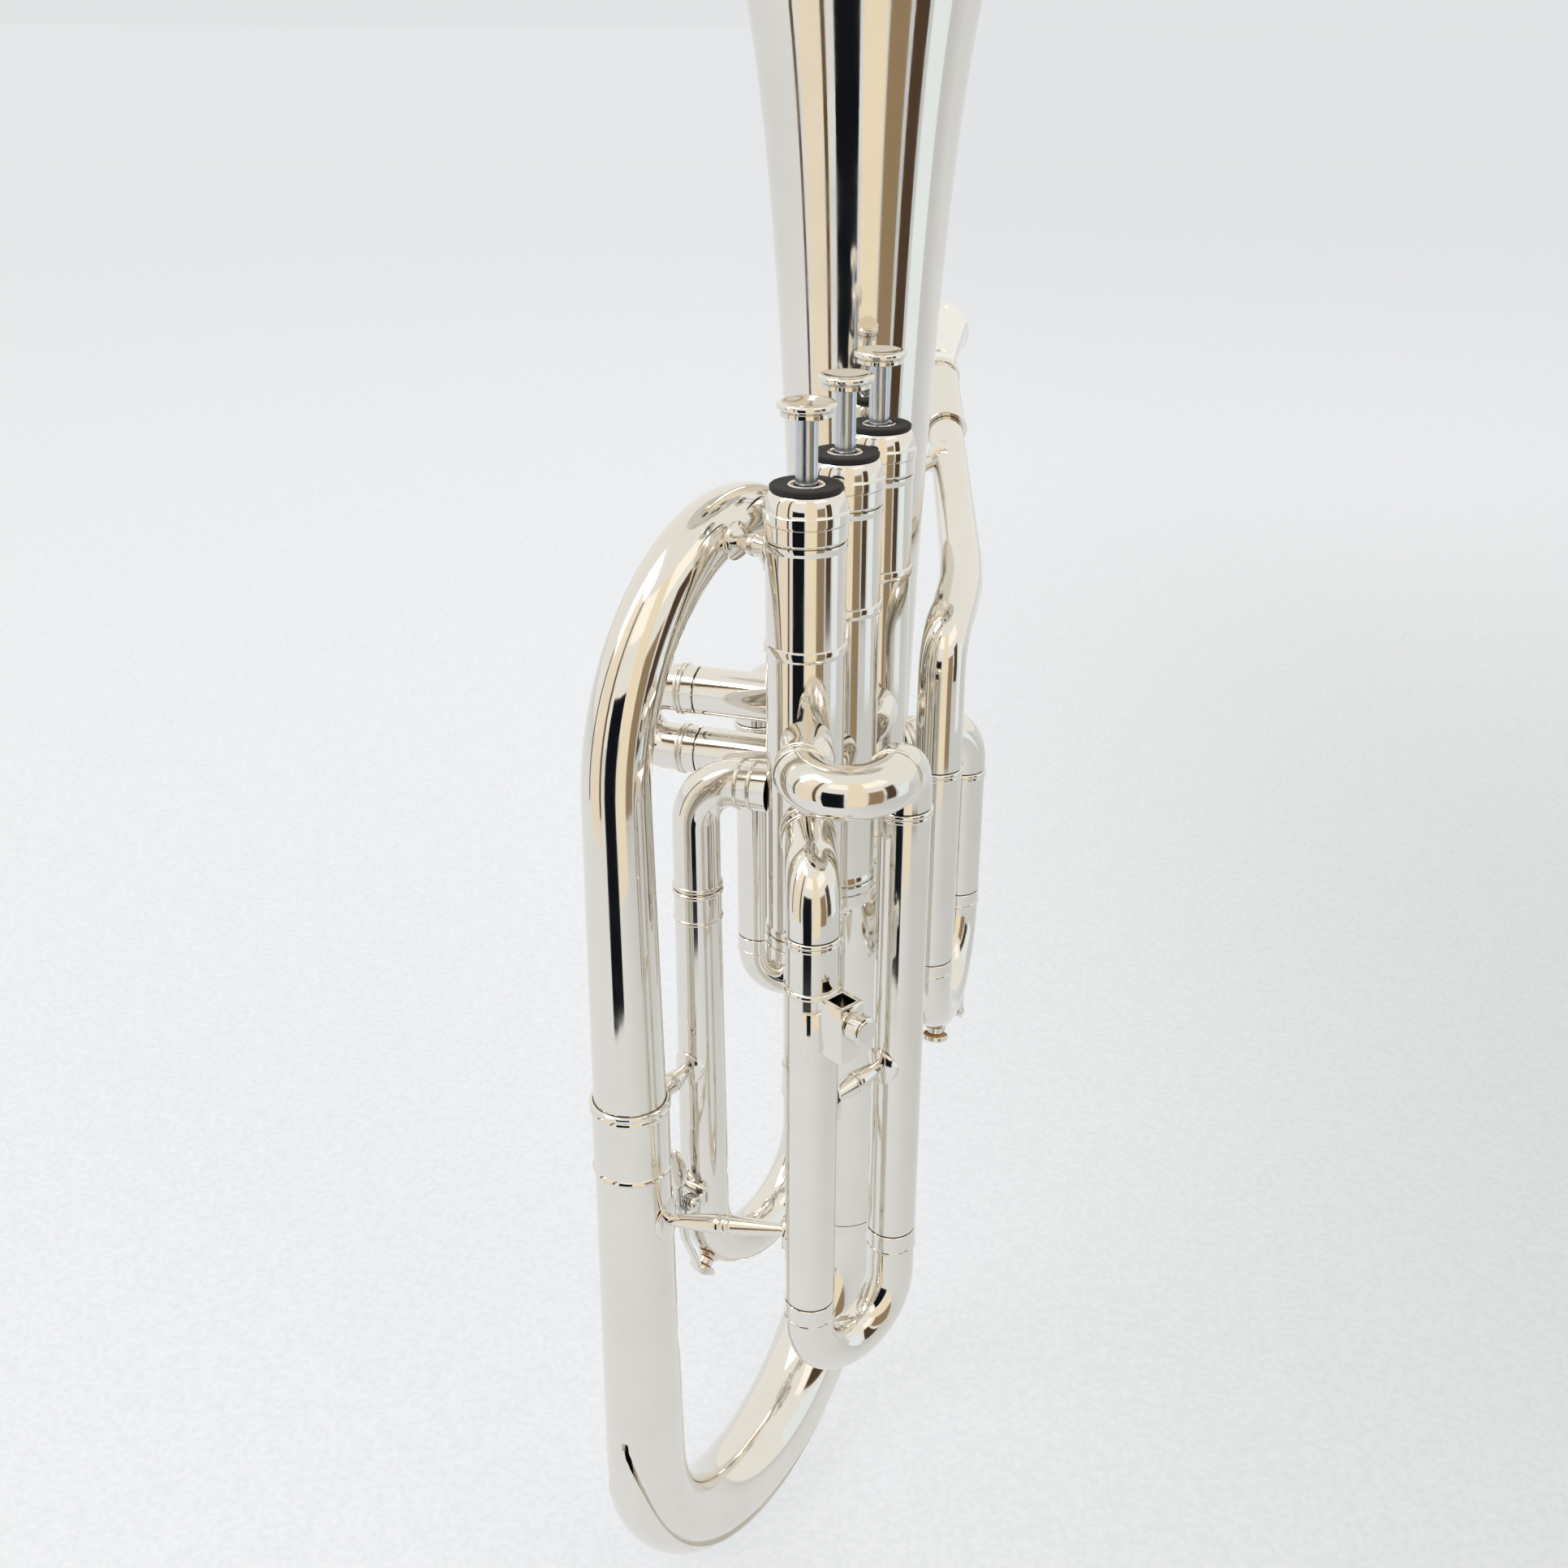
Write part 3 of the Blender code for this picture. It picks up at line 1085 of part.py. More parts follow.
def key_frame(name):
    """A key's own axes: +X out of the tube, +Z along it away from the pad, +Y the hinge."""
    (centre, side, half), radius, angle, lift, _, _ = key_bends()[name]
    out = side * math.cos(angle) + UP * math.sin(angle)
    along = UP * math.cos(angle) - side * math.sin(angle)
    origin = centre + out * (half + radius + KEY_STANDOFF) + along * lift
    return Matrix.Translation(origin) @ Matrix((out, along.cross(out), along)).transposed().to_4x4()


def pad_place(name):
    """Where the pad closes: a point on the bow's skin and the way out of it."""
    (centre, side, half), radius, _, _, angle, _ = key_bends()[name]
    out = side * math.cos(angle) + UP * math.sin(angle)
    return centre + out * (half + radius), out


def key_nipple(name):
    point, out = pad_place(name)
    return cylinder(f"{name}_nipple", KEY_NIPPLE_RADIUS, -KEY_NIPPLE_ROOT, KEY_NIPPLE_HEIGHT, nickel,
                    standing(point, out), PIN_SIDES)


def along_hinge(frame):
    return frame @ Matrix.Rotation(-math.pi / 2, 4, "X")


def touch_plate(name, matrix):
    """An oval finger plate, thin and domed."""
    mesh = bpy.data.meshes.new(f"{name}_touch")
    shape = bmesh.new()
    bmesh.ops.create_uvsphere(shape, u_segments=10, v_segments=6, radius=0.5)
    size = Matrix.Diagonal((KEY_TOUCH_THICKNESS, KEY_TOUCH_WIDTH, KEY_TOUCH_LENGTH, 1))
    bmesh.ops.transform(shape, matrix=size @ Matrix.Rotation(math.pi / 2, 4, "Y"),
                        verts=shape.verts)
    shape.to_mesh(mesh)
    shape.free()
    return add_object(f"{name}_touch", mesh, nickel, matrix)


def make_water_key(name):
    """Touch plate, arm, hinge barrel and pad cup, in one casting on a steel pin."""
    frame = key_frame(name)
    point, out = pad_place(name)
    touch_x, touch_z = key_bends()[name][-1]
    pad_base = KEY_NIPPLE_HEIGHT + SEAT_GAP
    pad_middle = frame.inverted() @ (point + out * (pad_base + KEY_PAD_THICKNESS / 2))
    waist = KEY_BARREL_RADIUS * KEY_ARM_SEAT
    knee_x, knee_z = (pad_middle.x + waist) / 2 + KEY_ARM_BOW, pad_middle.z / 2
    spine = [(pad_middle.x, pad_middle.z), (knee_x, knee_z), (waist, -KEY_BARREL_RADIUS),
             (waist, KEY_BARREL_RADIUS), (touch_x, touch_z)]
    half = KEY_ARM_THICKNESS / 2
    loop = [(x + half, z) for x, z in spine] + [(x - half, z) for x, z in reversed(spine)]
    upright = frame @ Matrix.Rotation(math.pi / 2, 4, "X")
    arm = as_mesh(outline(f"{name}_water_key", [loop], KEY_ARM_WIDTH, nickel, upright))
    barrel = cylinder(f"{name}_barrel", KEY_BARREL_RADIUS, -KEY_BARREL_HALF, KEY_BARREL_HALF,
                      nickel, along_hinge(frame), PIN_SIDES)
    pad = cylinder(f"{name}_pad", KEY_PAD_RADIUS, pad_base, pad_base + KEY_PAD_THICKNESS, nickel,
                   standing(point, out), TUBE_SIDES)
    touch = touch_plate(name, frame @ Matrix.Translation((touch_x, 0, touch_z)))
    hole = cylinder(f"{name}_pin_hole", KEY_PIN_RADIUS + KEY_PIN_CLEARANCE,
                    -2 * KEY_BARREL_HALF, 2 * KEY_BARREL_HALF, nickel, along_hinge(frame),
                    PIN_SIDES)
    join(arm, barrel, pad, touch)
    cut(arm, hole)


def key_saddle(name):
    """Two ears and the hinge pin on a foot that fits the tube."""
    frame = key_frame(name)
    radius = key_bends()[name][1]
    ear_inside = KEY_BARREL_HALF + SEAT_GAP
    width = 2 * (ear_inside + KEY_EAR_THICKNESS)
    spring_room = KEY_BARREL_RADIUS + SPRING_ROOM + 2 * KEY_SPRING_WIRE + SEAT_GAP
    bottom = -KEY_STANDOFF - radius / 2
    foot_size = (-spring_room - bottom, width, KEY_FOOT_LENGTH)
    foot_at = Matrix.Translation(((bottom - spring_room) / 2, 0, 0))
    saddle = box(f"{name}_key_saddle", foot_size, nickel, frame @ foot_at)
    ear_size = (KEY_BARREL_RADIUS - bottom, KEY_EAR_THICKNESS, KEY_EAR_WIDTH)
    for number, hand in enumerate((-1, 1)):
        across = hand * (ear_inside + KEY_EAR_THICKNESS / 2)
        ear_at = Matrix.Translation(((KEY_BARREL_RADIUS + bottom) / 2, across, 0))
        join(saddle, box(f"{name}_ear_{number}", ear_size, nickel, frame @ ear_at))
    reach = width / 2 + PIN_HEAD
    join(saddle, cylinder(f"{name}_pin", KEY_PIN_RADIUS, -reach, reach, nickel,
                          along_hinge(frame), PIN_SIDES))
    return cut(saddle, saddle_seat(name))


def saddle_seat(name):
    """The tube's bore under a saddle, so that its foot ends inside the tube's wall."""
    (centre, side, half), radius, angle, lift, _, _ = key_bends()[name]
    inside = radius - SADDLE_SINK
    if lift:
        foot = centre + side * half
        points = [foot, foot + UP * 2 * lift]
    else:
        points = []
        for k in range(CLEARANCE_STEPS + 1):
            turn = -math.pi * k / CLEARANCE_STEPS
            points.append(centre + (side * math.cos(turn) + UP * math.sin(turn)) * half)
    return as_mesh(tube(f"{name}_saddle_seat", points, inside, nickel, LARGE_TUBE_SIDES))


def make_key_spring(name):
    """A wire coil round the hinge barrel, with a leg for the arm and one for the foot."""
    frame = key_frame(name)
    coil = KEY_BARREL_RADIUS + SPRING_ROOM + KEY_SPRING_WIRE
    start = KEY_ARM_WIDTH / 2 + SEAT_GAP + KEY_SPRING_WIRE
    per_turn = SPRING_POINTS_PER_TURN
    points = [Vector((coil, start, KEY_SPRING_LEG))]
    for k in range(KEY_SPRING_TURNS * per_turn + 1):
        angle = 2 * math.pi * k / per_turn
        points.append(Vector((coil * math.cos(angle), start + KEY_SPRING_PITCH * k / per_turn,
                              -coil * math.sin(angle))))
    points.append(Vector((coil, points[-1].y, -KEY_SPRING_LEG)))
    wire = tube(f"{name}_key_spring", [frame @ point for point in points], KEY_SPRING_WIRE,
                steel, 4)
    wire.data.bevel_resolution = 0
    print(f"{name} key spring gap {KEY_SPRING_PITCH - 2 * KEY_SPRING_WIRE:.5f} m")


def make_water_keys():
    for name in key_bends():
        make_water_key(name)
        make_key_spring(name)


# Joints

def hang(name, at, pieces):
    """Parents a joint's moving pieces to an empty on its axis, without moving them."""
    axis = bpy.data.objects.new(f"{name}_axis", None)
    axis.location = at
    axis.empty_display_size = AXIS_SIZE
    cutters.objects.link(axis)
    bpy.context.view_layer.update()
    for piece in pieces:
        moving = parts.objects[piece]
        moving.parent = axis
        moving.matrix_parent_inverse = axis.matrix_world.inverted()


def make_joints():
    for number, axis in VALVES.items():
        hang(f"valve_{number}", axis, [f"piston_{number}", f"finger_button_{number}"])
    hang("main_slide", (MAIN_LEG_A + MAIN_LEG_B) / 2, ["main_slide", "main_key_spring"])
    hang("first_slide", (FIRST_FAR_LEG + FIRST_NEAR_LEG) / 2, ["first_slide"])
    hang("third_slide", (THIRD_LEFT_LEG + THIRD_RIGHT_LEG) / 2, ["third_slide"])
    second_height = (SECOND_UPPER_PORT + SECOND_LOWER_PORT) / 2
    hang("second_slide", at_height(VALVE_TWO, second_height), ["second_slide"])
    hang("mouthpiece", RECEIVER_INNER_END, ["mouthpiece"])
    for name in key_bends():
        hang(f"{name}_water_key", key_frame(name).translation, [f"{name}_water_key"])


clear_scene()
parts = new_collection("alto_horn")
cutters = new_collection("cutters")
nickel = make_material("nickel_plate", (0.78, 0.76, 0.72), 0.08)
silver = make_material("silver_plate", (0.90, 0.89, 0.86), 0.12)
monel = make_material("monel", (0.62, 0.60, 0.56), 0.30)
steel = make_material("spring_steel", (0.55, 0.56, 0.58), 0.25)

make_valves()
make_knuckles()
make_third_slide()
make_second_slide()
make_first_slide()
make_main_slide()
make_leadpipe()
make_receiver()
make_mouthpiece()
make_second_tube()
make_small_bow()
make_riser()
make_top_bow()
make_outer_branch()
make_bell()
make_bottom_bow()
make_braces()
make_lyre_box()
make_water_keys()
make_joints()
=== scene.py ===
import math
import bpy
from mathutils import Matrix, Vector


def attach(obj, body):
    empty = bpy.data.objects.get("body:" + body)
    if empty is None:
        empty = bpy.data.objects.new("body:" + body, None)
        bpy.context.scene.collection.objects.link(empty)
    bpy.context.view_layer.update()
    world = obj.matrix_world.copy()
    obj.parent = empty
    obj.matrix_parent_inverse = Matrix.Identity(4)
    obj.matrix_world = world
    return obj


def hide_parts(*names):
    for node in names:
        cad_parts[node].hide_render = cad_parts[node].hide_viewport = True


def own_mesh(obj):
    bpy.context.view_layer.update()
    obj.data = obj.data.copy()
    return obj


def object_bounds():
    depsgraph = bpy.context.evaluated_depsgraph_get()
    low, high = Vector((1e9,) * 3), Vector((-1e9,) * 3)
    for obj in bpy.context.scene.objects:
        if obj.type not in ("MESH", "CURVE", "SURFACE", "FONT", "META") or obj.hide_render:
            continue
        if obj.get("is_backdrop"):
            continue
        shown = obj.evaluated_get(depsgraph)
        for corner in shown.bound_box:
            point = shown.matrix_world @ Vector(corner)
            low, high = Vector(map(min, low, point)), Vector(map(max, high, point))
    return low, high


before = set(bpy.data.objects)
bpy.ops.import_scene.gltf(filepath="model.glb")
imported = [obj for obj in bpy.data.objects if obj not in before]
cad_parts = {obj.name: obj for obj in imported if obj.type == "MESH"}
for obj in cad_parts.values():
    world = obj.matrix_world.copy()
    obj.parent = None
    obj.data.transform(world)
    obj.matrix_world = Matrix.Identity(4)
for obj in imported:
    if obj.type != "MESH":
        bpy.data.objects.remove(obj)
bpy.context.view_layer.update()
bpy.ops.object.select_all(action="DESELECT")

millimetre = 0.001
up = Vector((0, 0, 1))
down = Vector((0, 0, -1))
bendStep = math.radians(7.5)  # one ring for this much of a bend
leastTurn = math.radians(0.5)
holdRing = {"least": 2.0, "inset": 0.25}


# ---- colours and nodes

def hexColour(code):
    channels = [int(code[k:k + 2], 16) / 255 for k in (1, 3, 5)]
    linear = [c / 12.92 if c <= 0.04045 else ((c + 0.055) / 1.055) ** 2.4 for c in channels]
    return (*linear, 1.0)


def addNode(tree, kind, settings=None, links=None):
    node = tree.nodes.new(kind)
    for key, value in (settings or {}).items():
        if key in node.inputs.keys():
            node.inputs[key].default_value = value
        else:
            setattr(node, key, value)
    for key, source in (links or {}).items():
        tree.links.new(source, node.inputs[key])
    return node


def emptyMaterial(name):
    material = bpy.data.materials.new(name)
    material.use_nodes = True
    material.node_tree.nodes.clear()
    return material, material.node_tree


def finishMaterial(tree, shader):
    addNode(tree, "ShaderNodeOutputMaterial", links={"Surface": shader.outputs[0]})


def polishedMetal(name, look):
    # A buffed plating: hazy smudges some 25 mm wide, and buffing lines 0.4 mm apart
    material, tree = emptyMaterial(name)
    place = addNode(tree, "ShaderNodeTexCoord").outputs["Object"]
    smudge = addNode(tree, "ShaderNodeTexNoise", {"Scale": 1000 / look["smudgeSize"], "Detail": 4.0,
                     "Roughness": 0.6}, {"Vector": place})
    haze = addNode(tree, "ShaderNodeMapRange", {"From Min": 0.35, "From Max": 0.7,
                   "To Min": look["roughness"], "To Max": look["haze"]},
                   {"Value": smudge.outputs[0]})
    tint = addNode(tree, "ShaderNodeMix", {"data_type": "RGBA"}, {"Factor": smudge.outputs[0]})
    for socket in tint.inputs:
        if socket.type == "RGBA" and socket.name in ("A", "B"):
            socket.default_value = hexColour(look["colour" if socket.name == "A" else "shade"])
    stretch = addNode(tree, "ShaderNodeMapping", {"Scale": (1.0, 1.0, look["lineStretch"])},
                      {"Vector": place})
    lines = addNode(tree, "ShaderNodeTexNoise", {"Scale": 1000 / look["lineSize"], "Detail": 2.0},
                    {"Vector": stretch.outputs[0]})
    bump = addNode(tree, "ShaderNodeBump", {"Strength": look["lineStrength"],
                   "Distance": look["lineDepth"] * millimetre}, {"Height": lines.outputs[0]})
    tintOut = [socket for socket in tint.outputs if socket.type == "RGBA"][0]
    shader = addNode(tree, "ShaderNodeBsdfPrincipled", {"Metallic": 1.0},
                     {"Base Color": tintOut, "Roughness": haze.outputs[0],
                      "Normal": bump.outputs[0]})
    finishMaterial(tree, shader)
    return material


def mattStuff(name, look):
    # Felt and cork: short fibres or grains that scatter the light
    material, tree = emptyMaterial(name)
    place = addNode(tree, "ShaderNodeTexCoord").outputs["Object"]
    grain = addNode(tree, "ShaderNodeTexNoise", {"Scale": 1000 / look["grain"], "Detail": 6.0},
                    {"Vector": place})
    mix = addNode(tree, "ShaderNodeMix", {"data_type": "RGBA"}, {"Factor": grain.outputs[0]})
    for socket in mix.inputs:
        if socket.type == "RGBA" and socket.name in ("A", "B"):
            socket.default_value = hexColour(look["colour" if socket.name == "A" else "shade"])
    bump = addNode(tree, "ShaderNodeBump", {"Strength": 0.6, "Distance": 0.2 * millimetre},
                   {"Height": grain.outputs[0]})
    mixOut = [socket for socket in mix.outputs if socket.type == "RGBA"][0]
    shader = addNode(tree, "ShaderNodeBsdfPrincipled",
                     {"Roughness": 0.95, "Sheen Weight": look["sheen"], "Sheen Roughness": 0.5},
                     {"Base Color": mixOut, "Normal": bump.outputs[0]})
    finishMaterial(tree, shader)
    return material


# Nickel plating, buffed bright: nearly a mirror, a little warm, with a thin haze from handling
nickelLook = {"colour": "#EDE9E2", "shade": "#E2DED6", "roughness": 0.045, "haze": 0.12,
              "smudgeSize": 25, "lineSize": 0.4, "lineStretch": 0.15, "lineStrength": 0.04,
              "lineDepth": 0.02}
# Silver plating, buffed: whiter than the nickel
silverLook = {"colour": "#F8F7F3", "shade": "#F0EFEA", "roughness": 0.06, "haze": 0.14,
              "smudgeSize": 15, "lineSize": 0.4, "lineStretch": 0.5, "lineStrength": 0.05,
              "lineDepth": 0.02}
# Drawn and turned steel of the stems: bluish satin with fine turning lines
stemLook = {"colour": "#D3D8DF", "shade": "#C0C6CF", "roughness": 0.2, "haze": 0.3,
            "smudgeSize": 8, "lineSize": 0.3, "lineStretch": 3.0, "lineStrength": 0.15,
            "lineDepth": 0.02}
# Honed monel of the pistons: grey satin, worn by sliding
monelLook = {"colour": "#B4AFA4", "shade": "#9A958A", "roughness": 0.26, "haze": 0.36,
             "smudgeSize": 12, "lineSize": 0.3, "lineStretch": 0.1, "lineStrength": 0.15,
             "lineDepth": 0.02}
# Drawn spring wire: grey and semi-bright
springLook = {"colour": "#A8ABAF", "shade": "#8C8F94", "roughness": 0.2, "haze": 0.32,
              "smudgeSize": 4, "lineSize": 0.2, "lineStretch": 1.0, "lineStrength": 0.1,
              "lineDepth": 0.01}
nickelPlate = polishedMetal("nickelPlateBuffed", nickelLook)
silverPlate = polishedMetal("silverPlateBuffed", silverLook)
stemSteel = polishedMetal("steelTurned", stemLook)
monelHoned = polishedMetal("monelHoned", monelLook)
springWire = polishedMetal("springWireDrawn", springLook)
feltPressed = mattStuff("woolFeltPressed", {"colour": "#1E1A18", "shade": "#100E0D",
                                            "grain": 0.35, "sheen": 0.04})
corkCut = mattStuff("corkCut", {"colour": "#B58A5C", "shade": "#7F5B38", "grain": 0.8,
                                "sheen": 0.0})
print("materials made")


# ---- modelling helpers

def metres(*place):
    return Vector(place) * millimetre


def startRing(ring, sides):
    centre, way, radius = ring
    bpy.ops.object.select_all(action="DESELECT")
    bpy.ops.mesh.primitive_circle_add(vertices=sides, radius=radius, location=centre,
                                      rotation=way.to_track_quat("Z", "Y").to_euler())
    bpy.ops.object.transform_apply(location=True, rotation=True, scale=True)
    bpy.ops.object.mode_set(mode="EDIT")
    bpy.ops.mesh.select_all(action="SELECT")


def addRing(last, ring):
    (centre, way, radius), (newCentre, newWay, newRadius) = last, ring
    turn = way.angle(newWay)
    if turn < leastTurn / 5:
        bpy.ops.mesh.extrude_region_move(
            TRANSFORM_OT_translate={"value": newCentre - centre})
    else:
        side = (newWay - way * math.cos(turn)) / math.sin(turn)
        hub = centre + side * ((newCentre - centre).dot(newWay) / math.sin(turn))
        axis = way.cross(newWay).normalized()
        bpy.ops.mesh.spin(steps=1, angle=-turn, center=hub, axis=axis)  # spin turns backwards
        reached = hub + Matrix.Rotation(turn, 3, axis) @ (centre - hub)
        bpy.ops.transform.translate(value=newCentre - reached)
    if abs(newRadius - radius) > 1e-7:
        scale = newRadius / radius
        bpy.ops.transform.resize(value=(scale, scale, scale), center_override=newCentre)


def sweep(rings, sides=48, hollow=False):
    startRing(rings[0], sides)
    for last, ring in zip(rings, rings[1:]):
        addRing(last, ring)
    bpy.ops.mesh.select_all(action="DESELECT")
    if hollow:
        bpy.ops.mesh.select_non_manifold()
        bpy.ops.mesh.bridge_edge_loops()
        bpy.ops.mesh.select_all(action="SELECT")
    else:
        bpy.ops.mesh.select_all(action="SELECT")
        bpy.ops.mesh.fill_holes(sides=0)
    bpy.ops.mesh.normals_make_consistent(inside=False)
    bpy.ops.object.mode_set(mode="OBJECT")
    return bpy.context.object


def lathe(at, way, profile, sides=48, hollow=False):
    # The profile is a list of (distance along the axis, radius), in millimetres. A long step
    # gets a ring near each of its ends, so that the smooth shading stays flat between them.
    points = [profile[0]]
    for (low, inner), (high, outer) in zip(profile, profile[1:]):
        length = math.hypot(high - low, outer - inner)
        if length > holdRing["least"]:
            for share in (holdRing["inset"] / length, 1 - holdRing["inset"] / length):
                points.append((low + (high - low) * share, inner + (outer - inner) * share))
        points.append((high, outer))
    rings = [(at + way * distance * millimetre, way, radius * millimetre)
             for distance, radius in points]
    return sweep(rings, sides, hollow)


def spread(stops, first, last):
    # Radii that grow evenly along a path
    lengths = [0.0]
    for (before, _), (after, _) in zip(stops, stops[1:]):
        lengths.append(lengths[-1] + (after - before).length)
    return [(centre, way, (first + (last - first) * length / lengths[-1]) * millimetre)
            for (centre, way), length in zip(stops, lengths)]


def route(corners, bends, first, last=None):
    ways = [(b - a).normalized() for a, b in zip(corners, corners[1:])]
    stops = [(corners[0], ways[0])]
    for corner, inward, onward, bend in zip(corners[1:-1], ways, ways[1:], bends):
        turn = inward.angle(onward)
        if turn < leastTurn:
            continue
        radius = bend * millimetre
        side = (onward - inward * math.cos(turn)) / math.sin(turn)
        start = corner - inward * radius * math.tan(turn / 2)
        steps = max(2, math.ceil(turn / bendStep))
        for k in range(steps + 1):
            angle = turn * k / steps
            centre = start + side * radius * (1 - math.cos(angle))
            centre += inward * radius * math.sin(angle)
            if (centre - stops[-1][0]).length > 1e-5:
                stops.append((centre, inward * math.cos(angle) + side * math.sin(angle)))
    if (corners[-1] - stops[-1][0]).length > 1e-5:
        stops.append((corners[-1], ways[-1]))
    return spread(stops, first, last or first)


def halfEllipse(middle, side, rise, steps, lean=0.0):
    # A lean moves the crown towards the first end and leaves both ends upright
    stops = []
    for k in range(steps + 1):
        angle = math.pi * k / steps
        shift = lean * math.sin(angle) ** 2
        slope = 2 * lean * math.sin(angle) * math.cos(angle)
        centre = middle + side * (math.cos(angle) + shift) + rise * math.sin(angle)
        way = (rise * math.cos(angle) - side * (math.sin(angle) - slope)).normalized()
        stops.append((centre, way))
    return stops


def bead(middle, width, base, rise, steps=6):
    # Profile of a round bead on a turned piece
    points = []
    for k in range(steps + 1):
        angle = math.pi * k / steps
        points.append((middle - width / 2 * math.cos(angle), base + rise * math.sin(angle)))
    return points


def band(first, last, base, rise, round_=0.35):
    # Profile of a flat ring with rounded edges, from one distance to another
    step = round_ if last > first else -round_
    return [(first, base), (first, base + rise * 0.6), (first + step, base + rise),
            (last - step, base + rise), (last, base + rise * 0.6), (last, base)]


def beadRing(at, way, base, width, rise):
    inner = [(-width / 2, base - 0.4)]
    return lathe(at, way, inner + bead(0, width, base, rise) + [(width / 2, base - 0.4)])


def joined(pieces):
    bpy.ops.object.select_all(action="DESELECT")
    for piece in pieces:
        piece.select_set(True)
    bpy.context.view_layer.objects.active = pieces[0]
    if len(pieces) > 1:
        bpy.ops.object.join()
    return pieces[0]


def copied(piece, shift):
    joined([piece])
    bpy.ops.object.duplicate(linked=False)
    twin = bpy.context.object
    bpy.ops.transform.translate(value=shift)
    bpy.ops.object.transform_apply(location=True, rotation=True, scale=True)
    return twin


def placed(piece, matrix):
    joined([piece])
    piece.matrix_world = matrix
    bpy.ops.object.transform_apply(location=True, rotation=True, scale=True)
    return piece


def applied(piece, kind, settings):
    joined([piece])
    modifier = piece.modifiers.new("step", kind)
    for key, value in settings.items():
        setattr(modifier, key, value)
    bpy.ops.object.modifier_apply(modifier=modifier.name)
    return piece


def carved(piece, tool, operation="DIFFERENCE"):
    applied(piece, "BOOLEAN", {"object": tool, "operation": operation, "solver": "EXACT"})
    bpy.data.objects.remove(tool, do_unlink=True)
    return piece


def softened(piece, width, segments=2, angle=40):
    return applied(piece, "BEVEL", {"width": width * millimetre, "segments": segments,
                                    "limit_method": "ANGLE", "angle_limit": math.radians(angle)})


def block(size, place):
    bpy.ops.object.select_all(action="DESELECT")
    bpy.ops.mesh.primitive_cube_add(size=1, location=metres(*place), scale=metres(*size))
    bpy.ops.object.transform_apply(location=True, rotation=True, scale=True)
    return bpy.context.object


def milled(piece, at, way, span, count, depth):
    # Real teeth: every other corner of a band's rings is drawn in towards the axis
    level = way.orthogonal().normalized()
    other = way.cross(level)
    for vertex in piece.data.vertices:
        offset = vertex.co - at
        distance = offset.dot(way) / millimetre
        angle = math.atan2(offset.dot(other), offset.dot(level)) / (2 * math.pi) * count
        vertex.select = span[0] < distance < span[1] and round(angle * 2) % 2 == 1
    joined([piece])
    bpy.ops.object.mode_set(mode="EDIT")
    bpy.ops.mesh.select_mode(type="VERT")
    middle = at + way * (span[0] + span[1]) / 2 * millimetre
    scale = 1 - depth
    bpy.ops.transform.resize(value=(scale, scale, scale), center_override=middle)
    bpy.ops.object.mode_set(mode="OBJECT")
    return piece


def present(name, node, body, pieces, material=nickelPlate, smooth=35):
    piece = joined(pieces)
    bpy.ops.object.shade_smooth_by_angle(angle=math.radians(smooth))
    piece.name = piece.data.name = name
    piece.data.materials.clear()
    piece.data.materials.append(material)
    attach(piece, body)
    if node:
        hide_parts(node)
    return piece


# ---- valves

valveSet = {"places": {1: 35, 2: 0, 3: -35}, "radius": 10.4, "half": 56, "thread": 9.6,
            "threadEnd": 61, "bore": 9.0, "beadHeight": 27.4, "lip": 0.25, "wall": 9.5}
topCap = {"skirt": 11.1, "low": 56.3, "bead": 11.4, "beadLow": 61.4, "beadHigh": 63.7,
          "face": 9.6, "top": 69, "hole": 3.4, "teeth": 72, "milling": 0.036}
feltRing = {"inner": 4.9, "outer": 9.3, "low": 68.9, "top": 70.3, "collar": 4.8, "hole": 3.9}
bottomCap = {"radius": 11.4, "high": -56.3, "floor": -65, "nipple": 4.2, "nippleEnd": -70,
             "hole": 2.0, "teeth": 72, "milling": 0.034}
button = {"radius": 7.85, "bead": 6.9, "low": 86.4, "top": 91.1, "dish": 1.0, "stem": 2.9,
          "stemLow": 61.4, "teeth": 60, "milling": 0.045}


def fromWall(corners):
    # A tube that meets a casing starts inside its wall, clear of the piston
    way = (corners[1] - corners[0]).normalized()
    return [corners[0] + way * valveSet["wall"] * millimetre] + corners[1:]


def casing():
    s = valveSet
    outside = [(s["threadEnd"], s["thread"]), (s["half"] + 0.1, s["thread"]),
               (s["half"] + 0.1, s["radius"]), (s["half"], s["radius"] + s["lip"]),
               (s["half"] - 1.6, s["radius"] + s["lip"]), (s["half"] - 2.0, s["radius"]),
               (s["beadHeight"] + 1.6, s["radius"])]
    outside += [(s["beadHeight"] + 1.3, s["radius"] + 0.45), (s["beadHeight"] + 0.9,
                s["radius"] + 0.6), (s["beadHeight"] - 0.9, s["radius"] + 0.6),
                (s["beadHeight"] - 1.3, s["radius"] + 0.45), (s["beadHeight"] - 1.6, s["radius"])]
    outside += [(2.0 - s["half"], s["radius"]), (1.6 - s["half"], s["radius"] + s["lip"]),
                (-s["half"], s["radius"] + s["lip"]), (-s["half"] - 0.1, s["radius"]),
                (-s["half"] - 0.1, s["thread"]), (-s["threadEnd"], s["thread"])]
    inside = [(-s["threadEnd"], s["bore"]), (s["threadEnd"], s["bore"])]
    return lathe(metres(0, 0, 0), up, outside + inside, 64, hollow=True)


